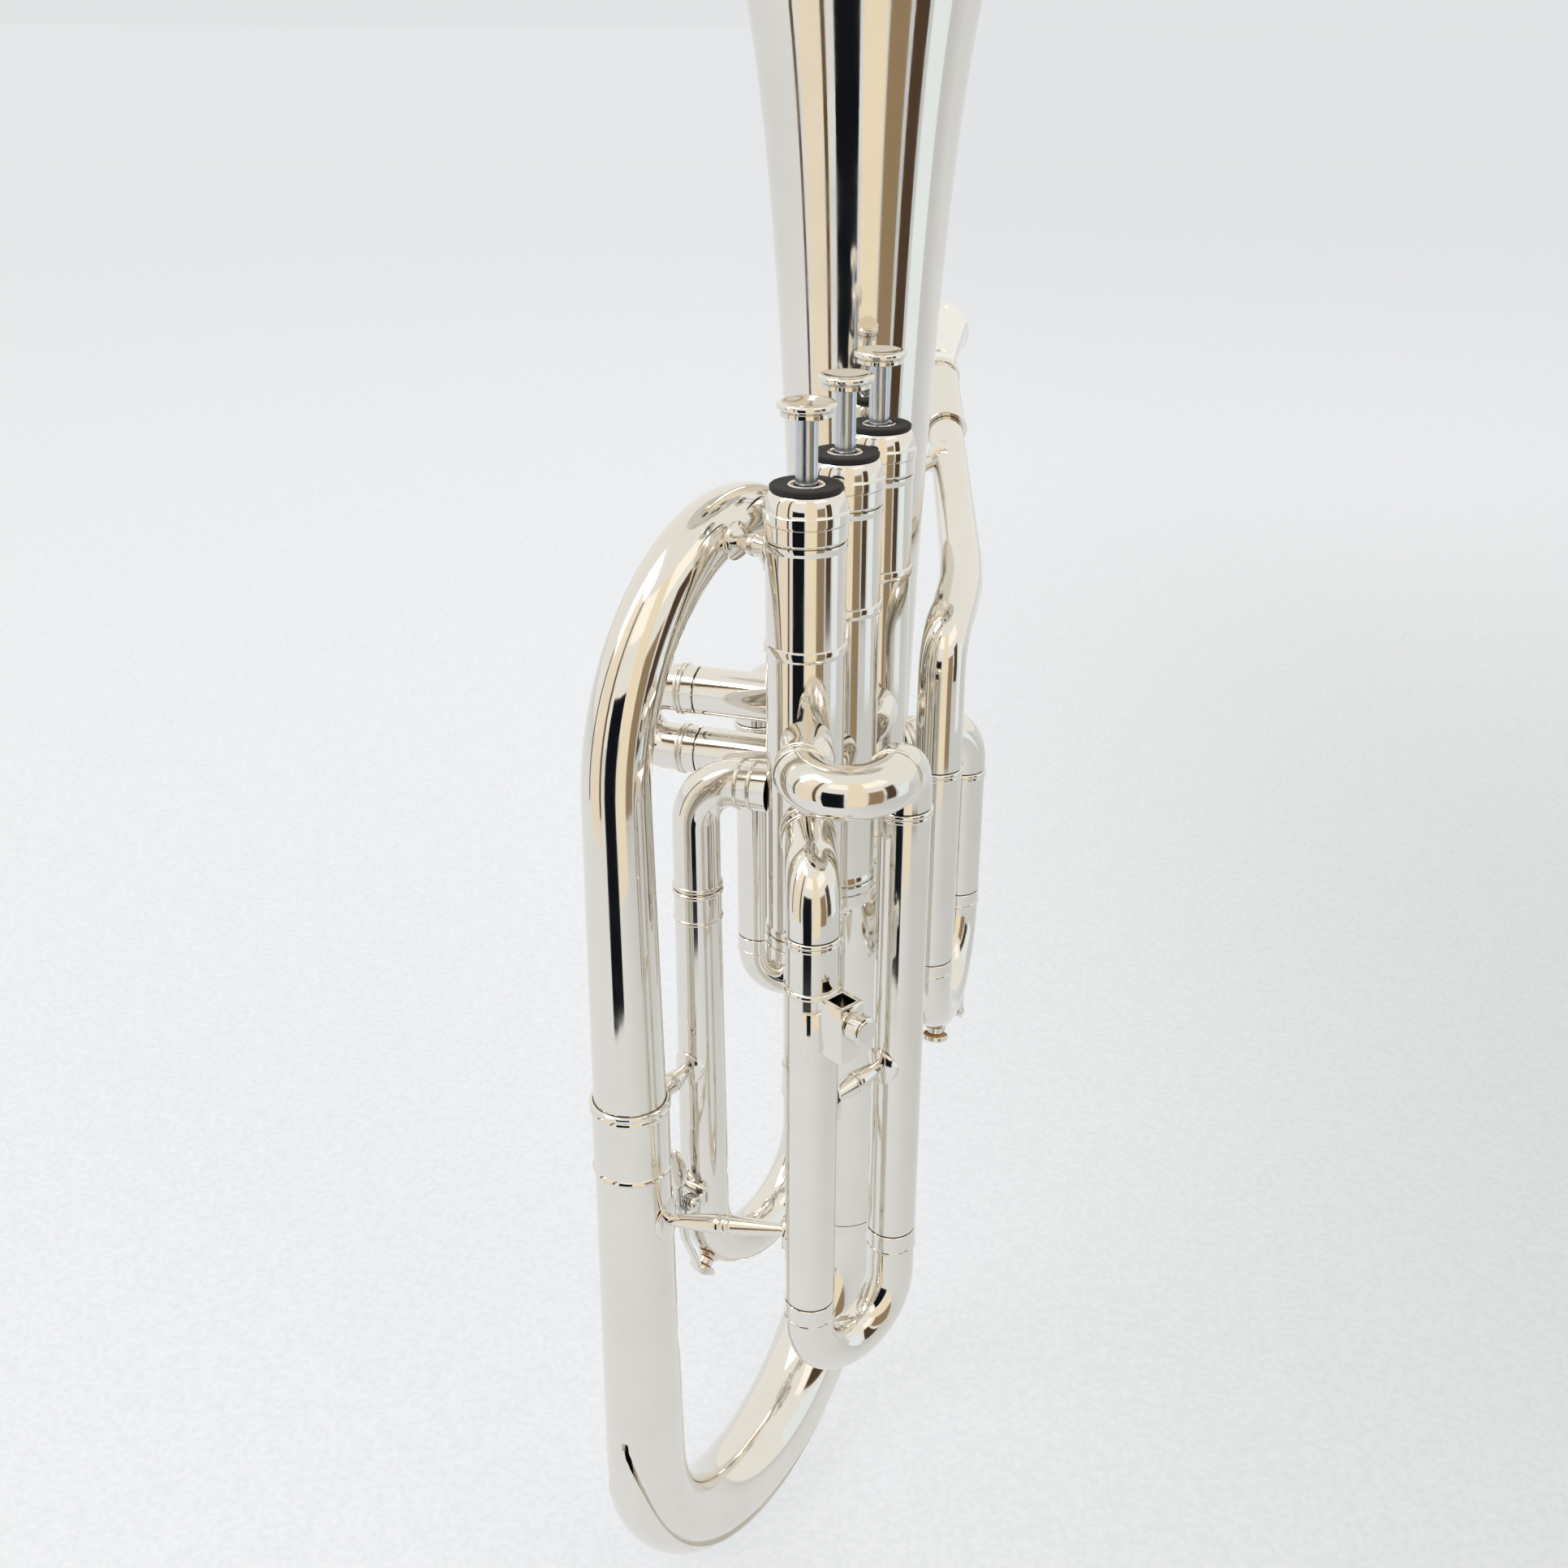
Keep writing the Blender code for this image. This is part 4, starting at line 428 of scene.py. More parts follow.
def screwCap():
    s = topCap
    profile = [(s["low"], s["thread"] if "thread" in s else 9.9), (s["low"], s["skirt"] - 0.2),
               (s["low"] + 0.3, s["skirt"]), (s["beadLow"] - 0.7, s["skirt"]),
               (s["beadLow"] - 0.5, s["skirt"] - 0.35), (s["beadLow"] - 0.25, s["skirt"] - 0.35),
               (s["beadLow"], s["bead"]), (s["beadHigh"], s["bead"]),
               (s["beadHigh"] + 0.3, s["bead"] - 0.3), (s["beadHigh"] + 1.0, s["bead"] - 0.45),
               (s["top"] - 2.4, s["face"] + 1.05), (s["top"] - 1.1, s["face"] + 0.55),
               (s["top"] - 0.3, s["face"] + 0.1), (s["top"], s["face"] - 0.3),
               (s["top"], s["hole"]), (s["low"] + 5, s["hole"]), (s["low"] + 5, 9.9)]
    cap = lathe(metres(0, 0, 0), up, profile, 2 * s["teeth"], hollow=True)
    return milled(cap, metres(0, 0, 0), up, (s["beadLow"] - 0.1, s["beadHigh"] + 0.1), s["teeth"],
                  s["milling"])


def felt():
    s = feltRing
    profile = [(s["low"], s["outer"]), (s["top"] - 0.4, s["outer"] + 0.1),
               (s["top"] - 0.1, s["outer"] - 0.2), (s["top"], s["outer"] - 0.6),
               (s["top"], s["inner"] + 0.4), (s["top"] - 0.2, s["inner"]),
               (s["low"], s["inner"])]
    return lathe(metres(0, 0, 0), up, profile, 64, hollow=True)


def stemCollar():
    # The bright bushing that stands inside the felt
    s = feltRing
    profile = [(s["low"], s["collar"]), (s["top"] - 0.1, s["collar"]),
               (s["top"] + 0.1, s["collar"] - 0.25), (s["top"] + 0.1, s["hole"] + 0.15),
               (s["top"] - 0.1, s["hole"]), (s["low"], s["hole"])]
    return lathe(metres(0, 0, 0), up, profile, 48, hollow=True)


def lowerCap():
    s = bottomCap
    profile = [(s["high"], 9.9), (s["high"], 10.9), (s["high"] - 0.4, s["radius"] - 0.3),
               (s["high"] - 2.6, s["radius"] - 0.3), (s["high"] - 2.8, s["radius"] - 0.6),
               (s["high"] - 3.1, s["radius"] - 0.6), (s["high"] - 3.3, s["radius"]),
               (s["floor"] + 2.2, s["radius"]), (s["floor"] + 1.9, s["radius"] - 0.6),
               (s["floor"] + 1.0, s["radius"] - 0.9), (s["floor"] + 0.3, 8.6),
               (s["floor"], 6.6), (s["floor"] - 0.5, 5.2), (s["floor"] - 1.5, s["nipple"]),
               (s["nippleEnd"] + 1.0, s["nipple"]), (s["nippleEnd"] + 0.6, s["nipple"] + 0.35),
               (s["nippleEnd"] + 0.2, s["nipple"] + 0.3), (s["nippleEnd"], s["nipple"] - 0.1),
               (s["nippleEnd"], s["hole"]), (s["high"] - 5, s["hole"]), (s["high"] - 5, 9.9)]
    cap = lathe(metres(0, 0, 0), up, profile, 2 * s["teeth"], hollow=True)
    return milled(cap, metres(0, 0, 0), up, (s["floor"] + 2.1, s["high"] - 3.2), s["teeth"],
                  s["milling"])


def fingerStem():
    s = button
    profile = [(s["stemLow"], s["stem"] - 0.3), (s["stemLow"] + 0.3, s["stem"]),
               (s["low"] + 0.4, s["stem"]), (s["low"] + 0.4, 0.3)]
    return lathe(metres(0, 0, 0), up, profile, 48)


def fingerButton():
    # A dished disc with a thick lip, on a knurled bead
    s = button
    low, top, radius, knurl = s["low"], s["top"], s["radius"], s["bead"]
    profile = [(low, 0.3), (low, s["stem"] + 0.1), (low + 0.1, s["stem"] + 0.8),
               (low + 0.4, knurl - 1.6), (low + 0.8, knurl - 0.4), (low + 1.0, knurl),
               (low + 2.0, knurl), (low + 2.15, knurl - 0.5), (low + 2.35, knurl - 0.3),
               (low + 2.6, radius - 0.6), (low + 2.9, radius - 0.15), (low + 3.3, radius),
               (top - 0.9, radius), (top - 0.5, radius - 0.15), (top - 0.2, radius - 0.5),
               (top, radius - 1.1), (top - 0.1, radius - 1.7)]
    edge = radius - 1.7
    for k in range(1, 9):
        reach = edge * (1 - k / 8.2)
        profile.append((top - 0.1 - (s["dish"] - 0.1) * (1 - (reach / edge) ** 2), reach))
    piece = lathe(metres(0, 0, 0), up, profile, 2 * s["teeth"])
    return milled(piece, metres(0, 0, 0), up, (low + 0.9, low + 2.1), s["teeth"], s["milling"])


masters = {"casing": casing(), "cap": screwCap(), "felt": felt(), "collar": stemCollar(),
           "foot": lowerCap(), "button": fingerButton(), "stem": fingerStem()}
for number, place in valveSet["places"].items():
    shift = metres(0, place, 0)
    twins = {key: copied(master, shift) for key, master in masters.items()}
    present(f"valveCasing{number}", f"valve_casing_{number}", "horn", [twins["casing"]])
    present(f"topCap{number}", f"top_cap_{number}", "horn", [twins["cap"]])
    present(f"feltRing{number}", None, "horn", [twins["felt"]], feltPressed)
    present(f"stemCollar{number}", None, "horn", [twins["collar"]])
    present(f"bottomCap{number}", f"bottom_cap_{number}", "horn", [twins["foot"]])
    present(f"fingerButton{number}", f"finger_button_{number}", f"piston_{number}",
            [twins["button"]], smooth=30)
    present(f"fingerStem{number}", None, f"piston_{number}", [twins["stem"]], stemSteel)
for master in masters.values():
    bpy.data.objects.remove(master, do_unlink=True)

knuckles = {"height": -13, "radius": 6.5, "bulges": {1: 5, 2: 1.5}, "steps": 14}
for first, bulge in knuckles["bulges"].items():
    start, end = valveSet["places"][first], valveSet["places"][first + 1]
    stops = []
    hidden = valveSet["wall"] / (start - end)
    for k in range(knuckles["steps"] + 1):
        share = hidden + (1 - 2 * hidden) * k / knuckles["steps"]
        rise = bulge * math.pi * math.cos(math.pi * share)
        stops.append((metres(bulge * math.sin(math.pi * share), start + (end - start) * share,
                             knuckles["height"]),
                      Vector((rise, end - start, 0)).normalized()))
    tubePiece = sweep(spread(stops, knuckles["radius"], knuckles["radius"]))
    present(f"knuckle{first}{first + 1}", f"knuckle_{first}_{first + 1}", "horn", [tubePiece])
print("valves done")


# ---- slides

slides = {"sleeve": 7.0, "bore": 6.4, "ring": 0.5, "inner": 6.0, "ferrule": 7.2, "bow": 6.9,
          "gap": 0.3}


def sleeve(top, end):
    s = slides
    length = (end - top).length / millimetre
    way = (end - top).normalized()
    outside = bead(0.75, 1.5, s["sleeve"], s["ring"]) + bead(2.1, 1.2, s["sleeve"], 0.35)
    outside += [(length - 0.25, s["sleeve"]), (length, s["sleeve"] - 0.15)]
    inside = [(length, s["bore"]), (0, s["bore"])]
    return lathe(top, way, outside + inside, 48, hollow=True)


def slideBow(legA, legB, ways, ends, ferrule, bottom, inner, beads=1, rise=0.22):
    # An inner tube, ferrule, bow, ferrule and inner tube; ways is the pull direction
    s = slides
    half = (legB - legA).length / 2 / millimetre
    pieces = []
    for leg, end in ((legA, ends[0]), (legB, ends[1])):
        at = leg + ways * end * millimetre
        profile = [(-inner, s["inner"]), (s["gap"] + 0.02, s["inner"])]
        profile += [(s["gap"] + 0.05, s["ferrule"] - 0.3), (s["gap"] + 0.25, s["ferrule"] - 0.1)]
        profile += [(s["gap"] + ferrule - beads * 1.3, s["ferrule"] - 0.1)]
        for k in range(beads, 0, -1):
            profile += bead(s["gap"] + ferrule - k * 1.25 + 0.6, 1.15, s["ferrule"] - 0.1, rise)
        profile += [(s["gap"] + ferrule, s["bow"] - 0.05)]
        pieces.append(lathe(at, ways, profile))
    starts = [leg + ways * (end + s["gap"] + ferrule - 1) * millimetre
              for leg, end in ((legA, ends[0]), (legB, ends[1]))]
    corners = [starts[0], legA + ways * bottom * millimetre, legB + ways * bottom * millimetre,
               starts[1]]
    pieces.append(sweep(route(corners, [half, half], s["bow"])))
    return pieces


thirdSlide = {"right": (30, -44), "left": (14, -73), "crookStart": (6.8, -54), "front": -70,
              "upperPort": 3.5, "lowerPort": -20, "rightTop": -10, "leftTop": -35,
              "ends": (152.5, 145.5), "ferrule": 6.5, "bottom": 178.5, "inner": 75,
              "bends": (10, 11.6, 11.6, 10), "crookBeads": (4, 21), "elbowBeads": (13.2, 17.4)}


def makeThirdSlide(s):
    right, left, port = metres(*s["right"], 0), metres(*s["left"], 0), s["upperPort"]
    corners = [metres(0, -35, port), metres(*s["crookStart"], port),
               metres(s["crookStart"][0], s["front"], port), metres(s["right"][0], s["front"], port),
               metres(*s["right"], port), metres(*s["right"], s["rightTop"] + 0.3)]
    pieces = [sweep(route(fromWall(corners), s["bends"], slides["sleeve"]))]
    bend = s["bends"][1]
    for turn in s["crookBeads"]:  # degrees round the crook's first bend
        across, along = math.cos(math.radians(turn)), math.sin(math.radians(turn))
        at = metres(s["crookStart"][0] + bend * (1 - across), s["front"] + bend * (1 - along), port)
        pieces.append(beadRing(at, Vector((along, -across, 0)), 7, 1.3, 0.5))
    pieces.append(beadRing(metres(s["right"][0], -56.4, port), metres(0, 1, 0).normalized(), 7,
                           1.4, 0.5))
    present("thirdCrook", "third_crook", "horn", pieces)
    corners = [metres(0, -35, s["lowerPort"]), metres(*s["left"], s["lowerPort"]),
               metres(*s["left"], s["leftTop"] + 0.3)]
    way = (corners[1] - corners[0]).normalized()
    pieces = [sweep(route(fromWall(corners), [10], slides["sleeve"]))]
    for distance in s["elbowBeads"]:
        pieces.append(beadRing(corners[0] + way * distance * millimetre, way, 7, 1.3, 0.5))
    present("thirdElbow", "third_elbow", "horn", pieces)
    for name, leg, top, end in (("Right", right, s["rightTop"], -s["ends"][1]),
                                ("Left", left, s["leftTop"], -s["ends"][0])):
        piece = sleeve(leg + metres(0, 0, top), leg + metres(0, 0, end))
        present(f"thirdSleeve{name}", f"third_sleeve_{name.lower()}", "horn", [piece])
    pieces = slideBow(left, right, down, s["ends"], s["ferrule"], s["bottom"], s["inner"])
    present("thirdSlide", "third_slide", "third_slide", pieces)


makeThirdSlide(thirdSlide)

secondSlide = {"ports": (-3.5, -22.5), "end": 42.8, "ferrule": 6, "bottom": 62.5, "inner": 25}


def makeSecondSlide(s):
    left = Vector((-1, 0, 0))
    bases = [metres(0, 0, port) for port in s["ports"]]
    profile = [(9.5, slides["sleeve"])]
    profile += [(s["end"] - 0.2, slides["sleeve"]), (s["end"], slides["sleeve"] - 0.15)]
    profile += [(s["end"], slides["bore"]), (9.5, slides["bore"])]
    master = lathe(bases[0], left, profile, 48, hollow=True)
    twin = copied(master, bases[1] - bases[0])
    present("secondSleeveUpper", "second_sleeve_upper", "horn", [master])
    present("secondSleeveLower", "second_sleeve_lower", "horn", [twin])
    pieces = slideBow(bases[0], bases[1], left, (s["end"], s["end"]), s["ferrule"], s["bottom"],
                      s["inner"], 2, 0.5)
    present("secondSlide", "second_slide", "second_slide", pieces)


makeSecondSlide(secondSlide)

firstSlide = {"far": (-37, 35), "near": (-18.5, 38.5), "ports": (-12, -36), "tops": (-26, -45),
              "bends": (10, 7.2), "end": 102, "ferrule": 6, "bottom": 118, "inner": 45}
mainSlide = {"front": (24.5, 20), "back": (22.7, 67.6), "port": -32, "tops": (-27, -48),
             "bend": 13, "end": 92, "ferrule": 5, "bottom": 121.5, "inner": 42}


def makeFirstSlide(s):
    legs = {"Far": metres(*s["far"], 0), "Near": metres(*s["near"], 0)}
    for k, (name, leg) in enumerate(legs.items()):
        corners = [metres(0, 35, s["ports"][k]), leg + metres(0, 0, s["ports"][k]),
                   leg + metres(0, 0, s["tops"][k] + 0.3)]
        way = (corners[1] - corners[0]).normalized()
        pieces = [sweep(route(fromWall(corners), [s["bends"][k]], slides["sleeve"]))]
        pieces.append(beadRing(corners[0] + way * 11.2 * millimetre, way, 7, 1.3, 0.5))
        present(f"firstElbow{name}", f"first_elbow_{name.lower()}", "horn", pieces)
        piece = sleeve(leg + metres(0, 0, s["tops"][k]), leg + metres(0, 0, -s["end"]))
        present(f"firstSleeve{name}", f"first_sleeve_{name.lower()}", "horn", [piece])
    pieces = slideBow(legs["Far"], legs["Near"], down, (s["end"], s["end"]), s["ferrule"],
                      s["bottom"], s["inner"])
    present("firstSlide", "first_slide", "first_slide", pieces)


makeFirstSlide(firstSlide)


def makeMainSlide(s):
    legs = {"Front": metres(*s["front"], 0), "Back": metres(*s["back"], 0)}
    corners = [metres(0, 35, s["port"]), legs["Back"] + metres(0, 0, s["port"]),
               legs["Back"] + metres(0, 0, s["tops"][1] + 0.3)]
    way = (corners[1] - corners[0]).normalized()
    pieces = [sweep(route(fromWall(corners), [s["bend"]], slides["sleeve"]))]
    for distance in (11.8, 13.8):
        pieces.append(beadRing(corners[0] + way * distance * millimetre, way, 7, 1.3, 0.5))
    present("mainElbow", "main_elbow", "horn", pieces)
    for (name, leg), top in zip(legs.items(), s["tops"]):
        piece = sleeve(leg + metres(0, 0, top), leg + metres(0, 0, -s["end"]))
        present(f"mainSleeve{name}", f"main_sleeve_{name.lower()}", "horn", [piece])
    return slideBow(legs["Front"], legs["Back"], down, (s["end"], s["end"]), s["ferrule"],
                    s["bottom"], s["inner"])


mainSlidePieces = makeMainSlide(mainSlide)
print("slides done")


# ---- leadpipe, receiver and mouthpiece

leadpipe = {"end": (-4, 142, 44), "way": (-0.29, 0.89, 0.35), "lead": 43.6,
            "side": (23.5, 50, 19.5), "drop": 13, "bends": (200, 120, 14), "first": 6, "last": 7}
receiver = {"radius": 7, "length": 36, "ring": 3, "rise": 0.5, "bore": 4.8, "mouth": 5.9}
mouthpiece = {"top": 66, "rim": 13.2, "cup": 8.6, "cupDepth": 14, "bore": 2.3,
              "bowl": ((0.86, 0.02), (0.91, 0.15), (0.955, 0.5), (0.985, 1.0), (1.0, 1.7),
                       (0.995, 2.4), (0.965, 3.1), (0.92, 3.9), (0.87, 5.4), (0.82, 7.6),
                       (0.765, 10.4), (0.71, 13.2), (0.65, 15.8), (0.585, 18.4), (0.54, 20.6),
                       (0.515, 22.2)),
              "ringDepth": 23.6, "shank": ((0.475, 25.2), (0.45, 26.2)), "mouthRadius": 5.6,
              "tip": 12, "tipRadius": 4.85}


def makeLeadpipe(s):
    end, way = metres(*s["end"]), Vector(s["way"]).normalized()
    legA = metres(*mainSlide["front"], 0)
    corners = [end - way * 0.3 * millimetre, end - way * s["lead"] * millimetre,
               metres(*s["side"]), legA + metres(0, 0, s["drop"]),
               legA + metres(0, 0, mainSlide["tops"][0] + 0.3)]
    rings = route(corners, s["bends"], s["first"], s["last"])
    present("leadPipe", "leadpipe", "horn", [sweep(rings)])


def makeReceiver(s):
    end, way = metres(*leadpipe["end"]), Vector(leadpipe["way"]).normalized()
    length, radius = s["length"], s["radius"]
    profile = band(0, s["ring"], radius, s["rise"])
    profile += [(length - s["ring"] - 1.6, radius)]
    profile += bead(length - s["ring"] - 1.0, 1.0, radius, 0.3, 4)
    profile += band(length - s["ring"] + 0.2, length, radius, s["rise"])
    profile += [(length, s["mouth"]), (0, s["bore"])]
    present("receiverTube", "mouthpiece_receiver", "horn", [lathe(end, way, profile, 64, True)])


def makeMouthpiece(s):
    end, way = metres(*leadpipe["end"]), Vector(leadpipe["way"]).normalized()
    top, rim, cup = s["top"], s["rim"], s["cup"]
    profile = [(s["tip"], s["tipRadius"]), (receiver["length"], s["mouthRadius"])]
    profile += [(top - depth, rim * share) for share, depth in reversed(s["shank"])]
    profile += bead(top - s["ringDepth"], 1.2, rim * 0.5, 0.3, 4)
    profile += [(top - depth, rim * share) for share, depth in reversed(s["bowl"])]
    profile += [(top, rim * 0.8), (top - 0.1, rim * 0.74), (top - 0.4, rim * 0.695),
                (top - 1.0, cup + 0.2)]
    floor = top - s["cupDepth"]
    for k in range(1, 11):
        angle = math.pi / 2 * k / 10
        profile.append((top - 1.0 - (s["cupDepth"] - 2.4) * math.sin(angle) ** 1.2,
                        s["bore"] + (cup - s["bore"]) * math.cos(angle) ** 0.8))
    profile += [(floor, s["bore"]), (floor - 5, s["bore"]), (s["tip"], s["tipRadius"] - 0.9)]
    present("mouthpieceTurned", "mouthpiece", "mouthpiece", [lathe(end, way, profile, 96, True)],
            silverPlate)


makeLeadpipe(leadpipe)
makeReceiver(receiver)
makeMouthpiece(mouthpiece)
print("leadpipe and mouthpiece done")


# ---- branches and bows

secondTube = {"place": (-32, -34), "port": -15, "bend": 13, "radius": 6.7, "joint": -49,
              "collar": 10}
riser = {"place": (-14.5, 17.5), "top": -13.3, "bottom": -150, "radius": 8.1, "ferrule": 12,
         "wall": 0.7}
smallBow = {"bottom": -187.5}
topBow = {"spring": -11, "height": 65.5, "steps": 44, "lean": 0.17}
branch = {"place": (-42.6, -63.9), "top": -13.3, "topRadius": 9.3, "end": -115.2,
          "endRadius": 10.6}
ferrule = {"half": 12, "radius": 11.15, "rise": 0.5, "bore": 10.7}
bell = {"axis": (-16.4, 71), "top": 250, "bottom": -236, "rim": 100, "wall": 0.8,
        "offset": 5.2, "power": 0.415, "lip": 2.4, "rings": 90, "sides": 144}
bottomBow = {"firstRadius": 10.8, "depth": 64, "steps": 44, "lead": 2}
guard = {"grow": 1.1, "lift": 12, "reach": 16, "shift": 2.55, "lead": 12}


def leg(place, height):
    return metres(*place, height)


def makeValveElbow(s):
    corners = [metres(0, -35, s["port"]), leg(s["place"], s["port"]),
               leg(s["place"], s["joint"] + 0.3)]
    way = (corners[1] - corners[0]).normalized()
    pieces = [sweep(route(fromWall(corners), [s["bend"]], s["radius"]))]
    for distance in (14.4, 18.2):
        pieces.append(beadRing(corners[0] + way * distance * millimetre, way, s["radius"], 1.3,
                               0.5))
    pieces.append(beadRing(leg(s["place"], s["joint"] + 1.1), down, s["radius"], 1.5, 0.5))
    present("valveElbow", "valve_elbow", "horn", pieces)


def makeRiser(s):
    radius = s["radius"]
    height = s["bottom"] + s["ferrule"]
    profile = [(s["top"], radius), (height + 0.2, radius)]
    profile += [(height + 0.1, radius + 0.4), (height - 0.3, radius + 0.55),
                (height - 1.4, radius + 0.55), (height - 1.7, radius + 0.4),
                (s["bottom"] + 1.6, radius + 0.4), (s["bottom"] + 1.3, radius + 0.6),
                (s["bottom"] + 0.2, radius + 0.6), (s["bottom"], radius + 0.4)]
    profile += [(s["bottom"], radius - s["wall"]), (s["top"], radius - s["wall"])]
    present("riserTube", "riser", "horn", [lathe(metres(*s["place"], 0), up, profile, 56, True)])


def makeTopBow(s):
    middle = (leg(riser["place"], s["spring"]) + leg(branch["place"], s["spring"])) / 2
    half = (leg(riser["place"], 0) - leg(branch["place"], 0)) / 2
    stops = [(leg(riser["place"], riser["top"] + 0.3), up)]
    stops += halfEllipse(middle, half, up * s["height"] * millimetre, s["steps"], s["lean"])
    stops += [(leg(branch["place"], branch["top"]), down)]
    rings = spread(stops, riser["radius"], branch["topRadius"])
    present("topBow", "top_bow", "horn", [sweep(rings, 56)])


def makeOuterBranch(s):
    profile = [(s["top"], s["topRadius"]), (s["end"], s["endRadius"]),
               (s["end"], s["endRadius"] - 0.7), (s["top"], s["topRadius"] - 0.7)]
    present("outerBranch", "outer_branch", "horn",
            [lathe(metres(*s["place"], 0), up, profile, 56, True)])


def makeBranchFerrule(s):
    half, radius, rise = s["half"], s["radius"], s["rise"]
    profile = [(half, radius - 0.2), (half - 0.1, radius)]
    profile += [(half - 0.3, radius + rise * 0.7), (half - 0.9, radius + rise),
                (half - 1.5, radius + rise * 0.7), (half - 1.9, radius - 0.1),
                (half - 2.3, radius + rise * 0.6), (half - 2.8, radius + rise * 0.8),
                (half - 3.4, radius + rise * 0.5), (half - 3.8, radius)]
    profile += [(1.9 - half, radius), (1.6 - half, radius + rise * 0.6),
                (1.1 - half, radius + rise), (0.6 - half, radius + rise * 0.6),
                (0.1 - half, radius), (-half, radius - 0.2)]
    profile += [(-half, s["bore"]), (half, s["bore"] - 0.05)]
    present("branchFerrule", "branch_ferrule", "horn",
            [lathe(leg(branch["place"], branch["end"]), up, profile, 64, True)])


def flare(drop):
    return bell["rim"] * (bell["offset"] / (drop + bell["offset"])) ** bell["power"]


def makeBell(s):
    length = s["top"] - s["bottom"]
    drops = [length * (k / s["rings"]) ** 2.6 for k in range(s["rings"], 0, -1)]
    drops = [drop for drop in drops if drop > 1.2]
    outside = [(s["top"] - drop, flare(drop)) for drop in drops]
    lip, rim, crown = s["lip"], s["rim"], s["top"] + s["wall"]
    roll = []
    for k in range(13):  # the wire that the rim is rolled over
        angle = math.radians(-150 + 300 * k / 12)
        roll.append((s["top"] - 0.05 + 0.85 * math.sin(angle),
                     rim + lip / 2 + 1.2 * math.cos(angle)))
    inside = []
    for drop in reversed(drops):
        slope = (flare(drop + 0.5) - flare(drop - 0.5))
        lean = math.hypot(1, slope)
        inside.append((s["top"] - drop + s["wall"] * -slope / lean, flare(drop) - s["wall"] / lean))
    profile = outside + roll + inside
    piece = lathe(metres(*s["axis"], 0), up, profile, s["sides"], True)
    present("bellFlare", "bell", "horn", [piece], smooth=50)


def bottomBowStops():
    s = bottomBow
    start, end = metres(*branch["place"], 0), metres(*bell["axis"], 0)
    spring = bell["bottom"] - 0.3 - s["lead"]
    middle = (start + end) / 2 + metres(0, 0, spring)
    half = (start - end) / 2
    bend = halfEllipse(middle, half, down * s["depth"] * millimetre, s["steps"])
    stops = [(start + metres(0, 0, branch["end"] - 0.3), down)] + bend
    stops.append((end + metres(0, 0, bell["bottom"] - 0.3), up))
    return stops, bend, middle, half


def makeBottomBow(s):
    stops, bend, middle, half = bottomBowStops()
    last = flare(bell["top"] - bell["bottom"])
    rings = spread(stops, s["firstRadius"], last)
    present("bottomBow", "bottom_bow", "horn", [sweep(rings, 64)])
    covered = [(centre, way, radius + guard["grow"] * millimetre)
               for centre, way, radius in rings[1:]]
    covered.insert(0, (covered[0][0] + metres(0, 0, guard["lead"]), down, covered[0][2]))
    plate = sweep(covered, 64)
    side = half.normalized()
    lifted = middle + up * guard["lift"] * millimetre - side * guard["shift"] * millimetre
    level = side.cross(up)
    reach = half.length + guard["reach"] * millimetre
    waste = lathe(lifted - level * half.length, level,
                  [(0, reach / millimetre), (2 * half.length / millimetre,
                                             reach / millimetre)], 160)
    present("bowGuard", "bow_guard", "horn", [carved(plate, waste)])


def makeSmallBow():
    s, tube = smallBow, secondTube
    start, end = metres(*tube["place"], 0), metres(*riser["place"], 0)
    half = (end - start).length / 2 / millimetre
    ring = tube["joint"] - tube["collar"]
    corners = [start + metres(0, 0, ring), start + metres(0, 0, s["bottom"]),
               end + metres(0, 0, s["bottom"]), end + metres(0, 0, riser["bottom"] - 0.3)]
    pieces = [sweep(route(corners, [half, half], tube["radius"], riser["radius"]), 56)]
    collar = [(tube["joint"], tube["radius"] - 0.4)]
    collar += bead(tube["joint"] - 0.8, 1.4, tube["radius"] + 0.15, 0.5)
    collar += [(tube["joint"] - 1.7, tube["radius"] + 0.15)]
    collar += [(ring + 1.4, tube["radius"] + 0.15)]
    collar += bead(ring + 0.7, 1.3, tube["radius"] + 0.1, 0.4)
    collar += [(ring, tube["radius"] - 0.4)]
    pieces.append(lathe(start, up, collar))
    return pieces


makeValveElbow(secondTube)
makeRiser(riser)
makeTopBow(topBow)
makeOuterBranch(branch)
makeBranchFerrule(ferrule)
makeBell(bell)
makeBottomBow(bottomBow)
smallBowPieces = makeSmallBow()
print("bell and bows done")


# ---- braces

braceShape = {"curve": ((0.0, 1.6), (0.04, 1.6), (0.07, 1.75), (0.44, 2.95), (0.455, 2.9),
                        (0.465, 2.6), (0.475, 2.6), (0.482, 2.95), (0.49, 3.1), (0.515, 3.1),
                        (0.523, 2.95), (0.53, 2.6), (0.54, 2.6), (0.55, 2.9), (0.565, 2.95),
                        (0.93, 1.75), (0.96, 1.6), (1.0, 1.6)),
              "plate": 0.95, "sunk": 0.25, "wide": 5.2, "tall": (6.8, 5.2)}


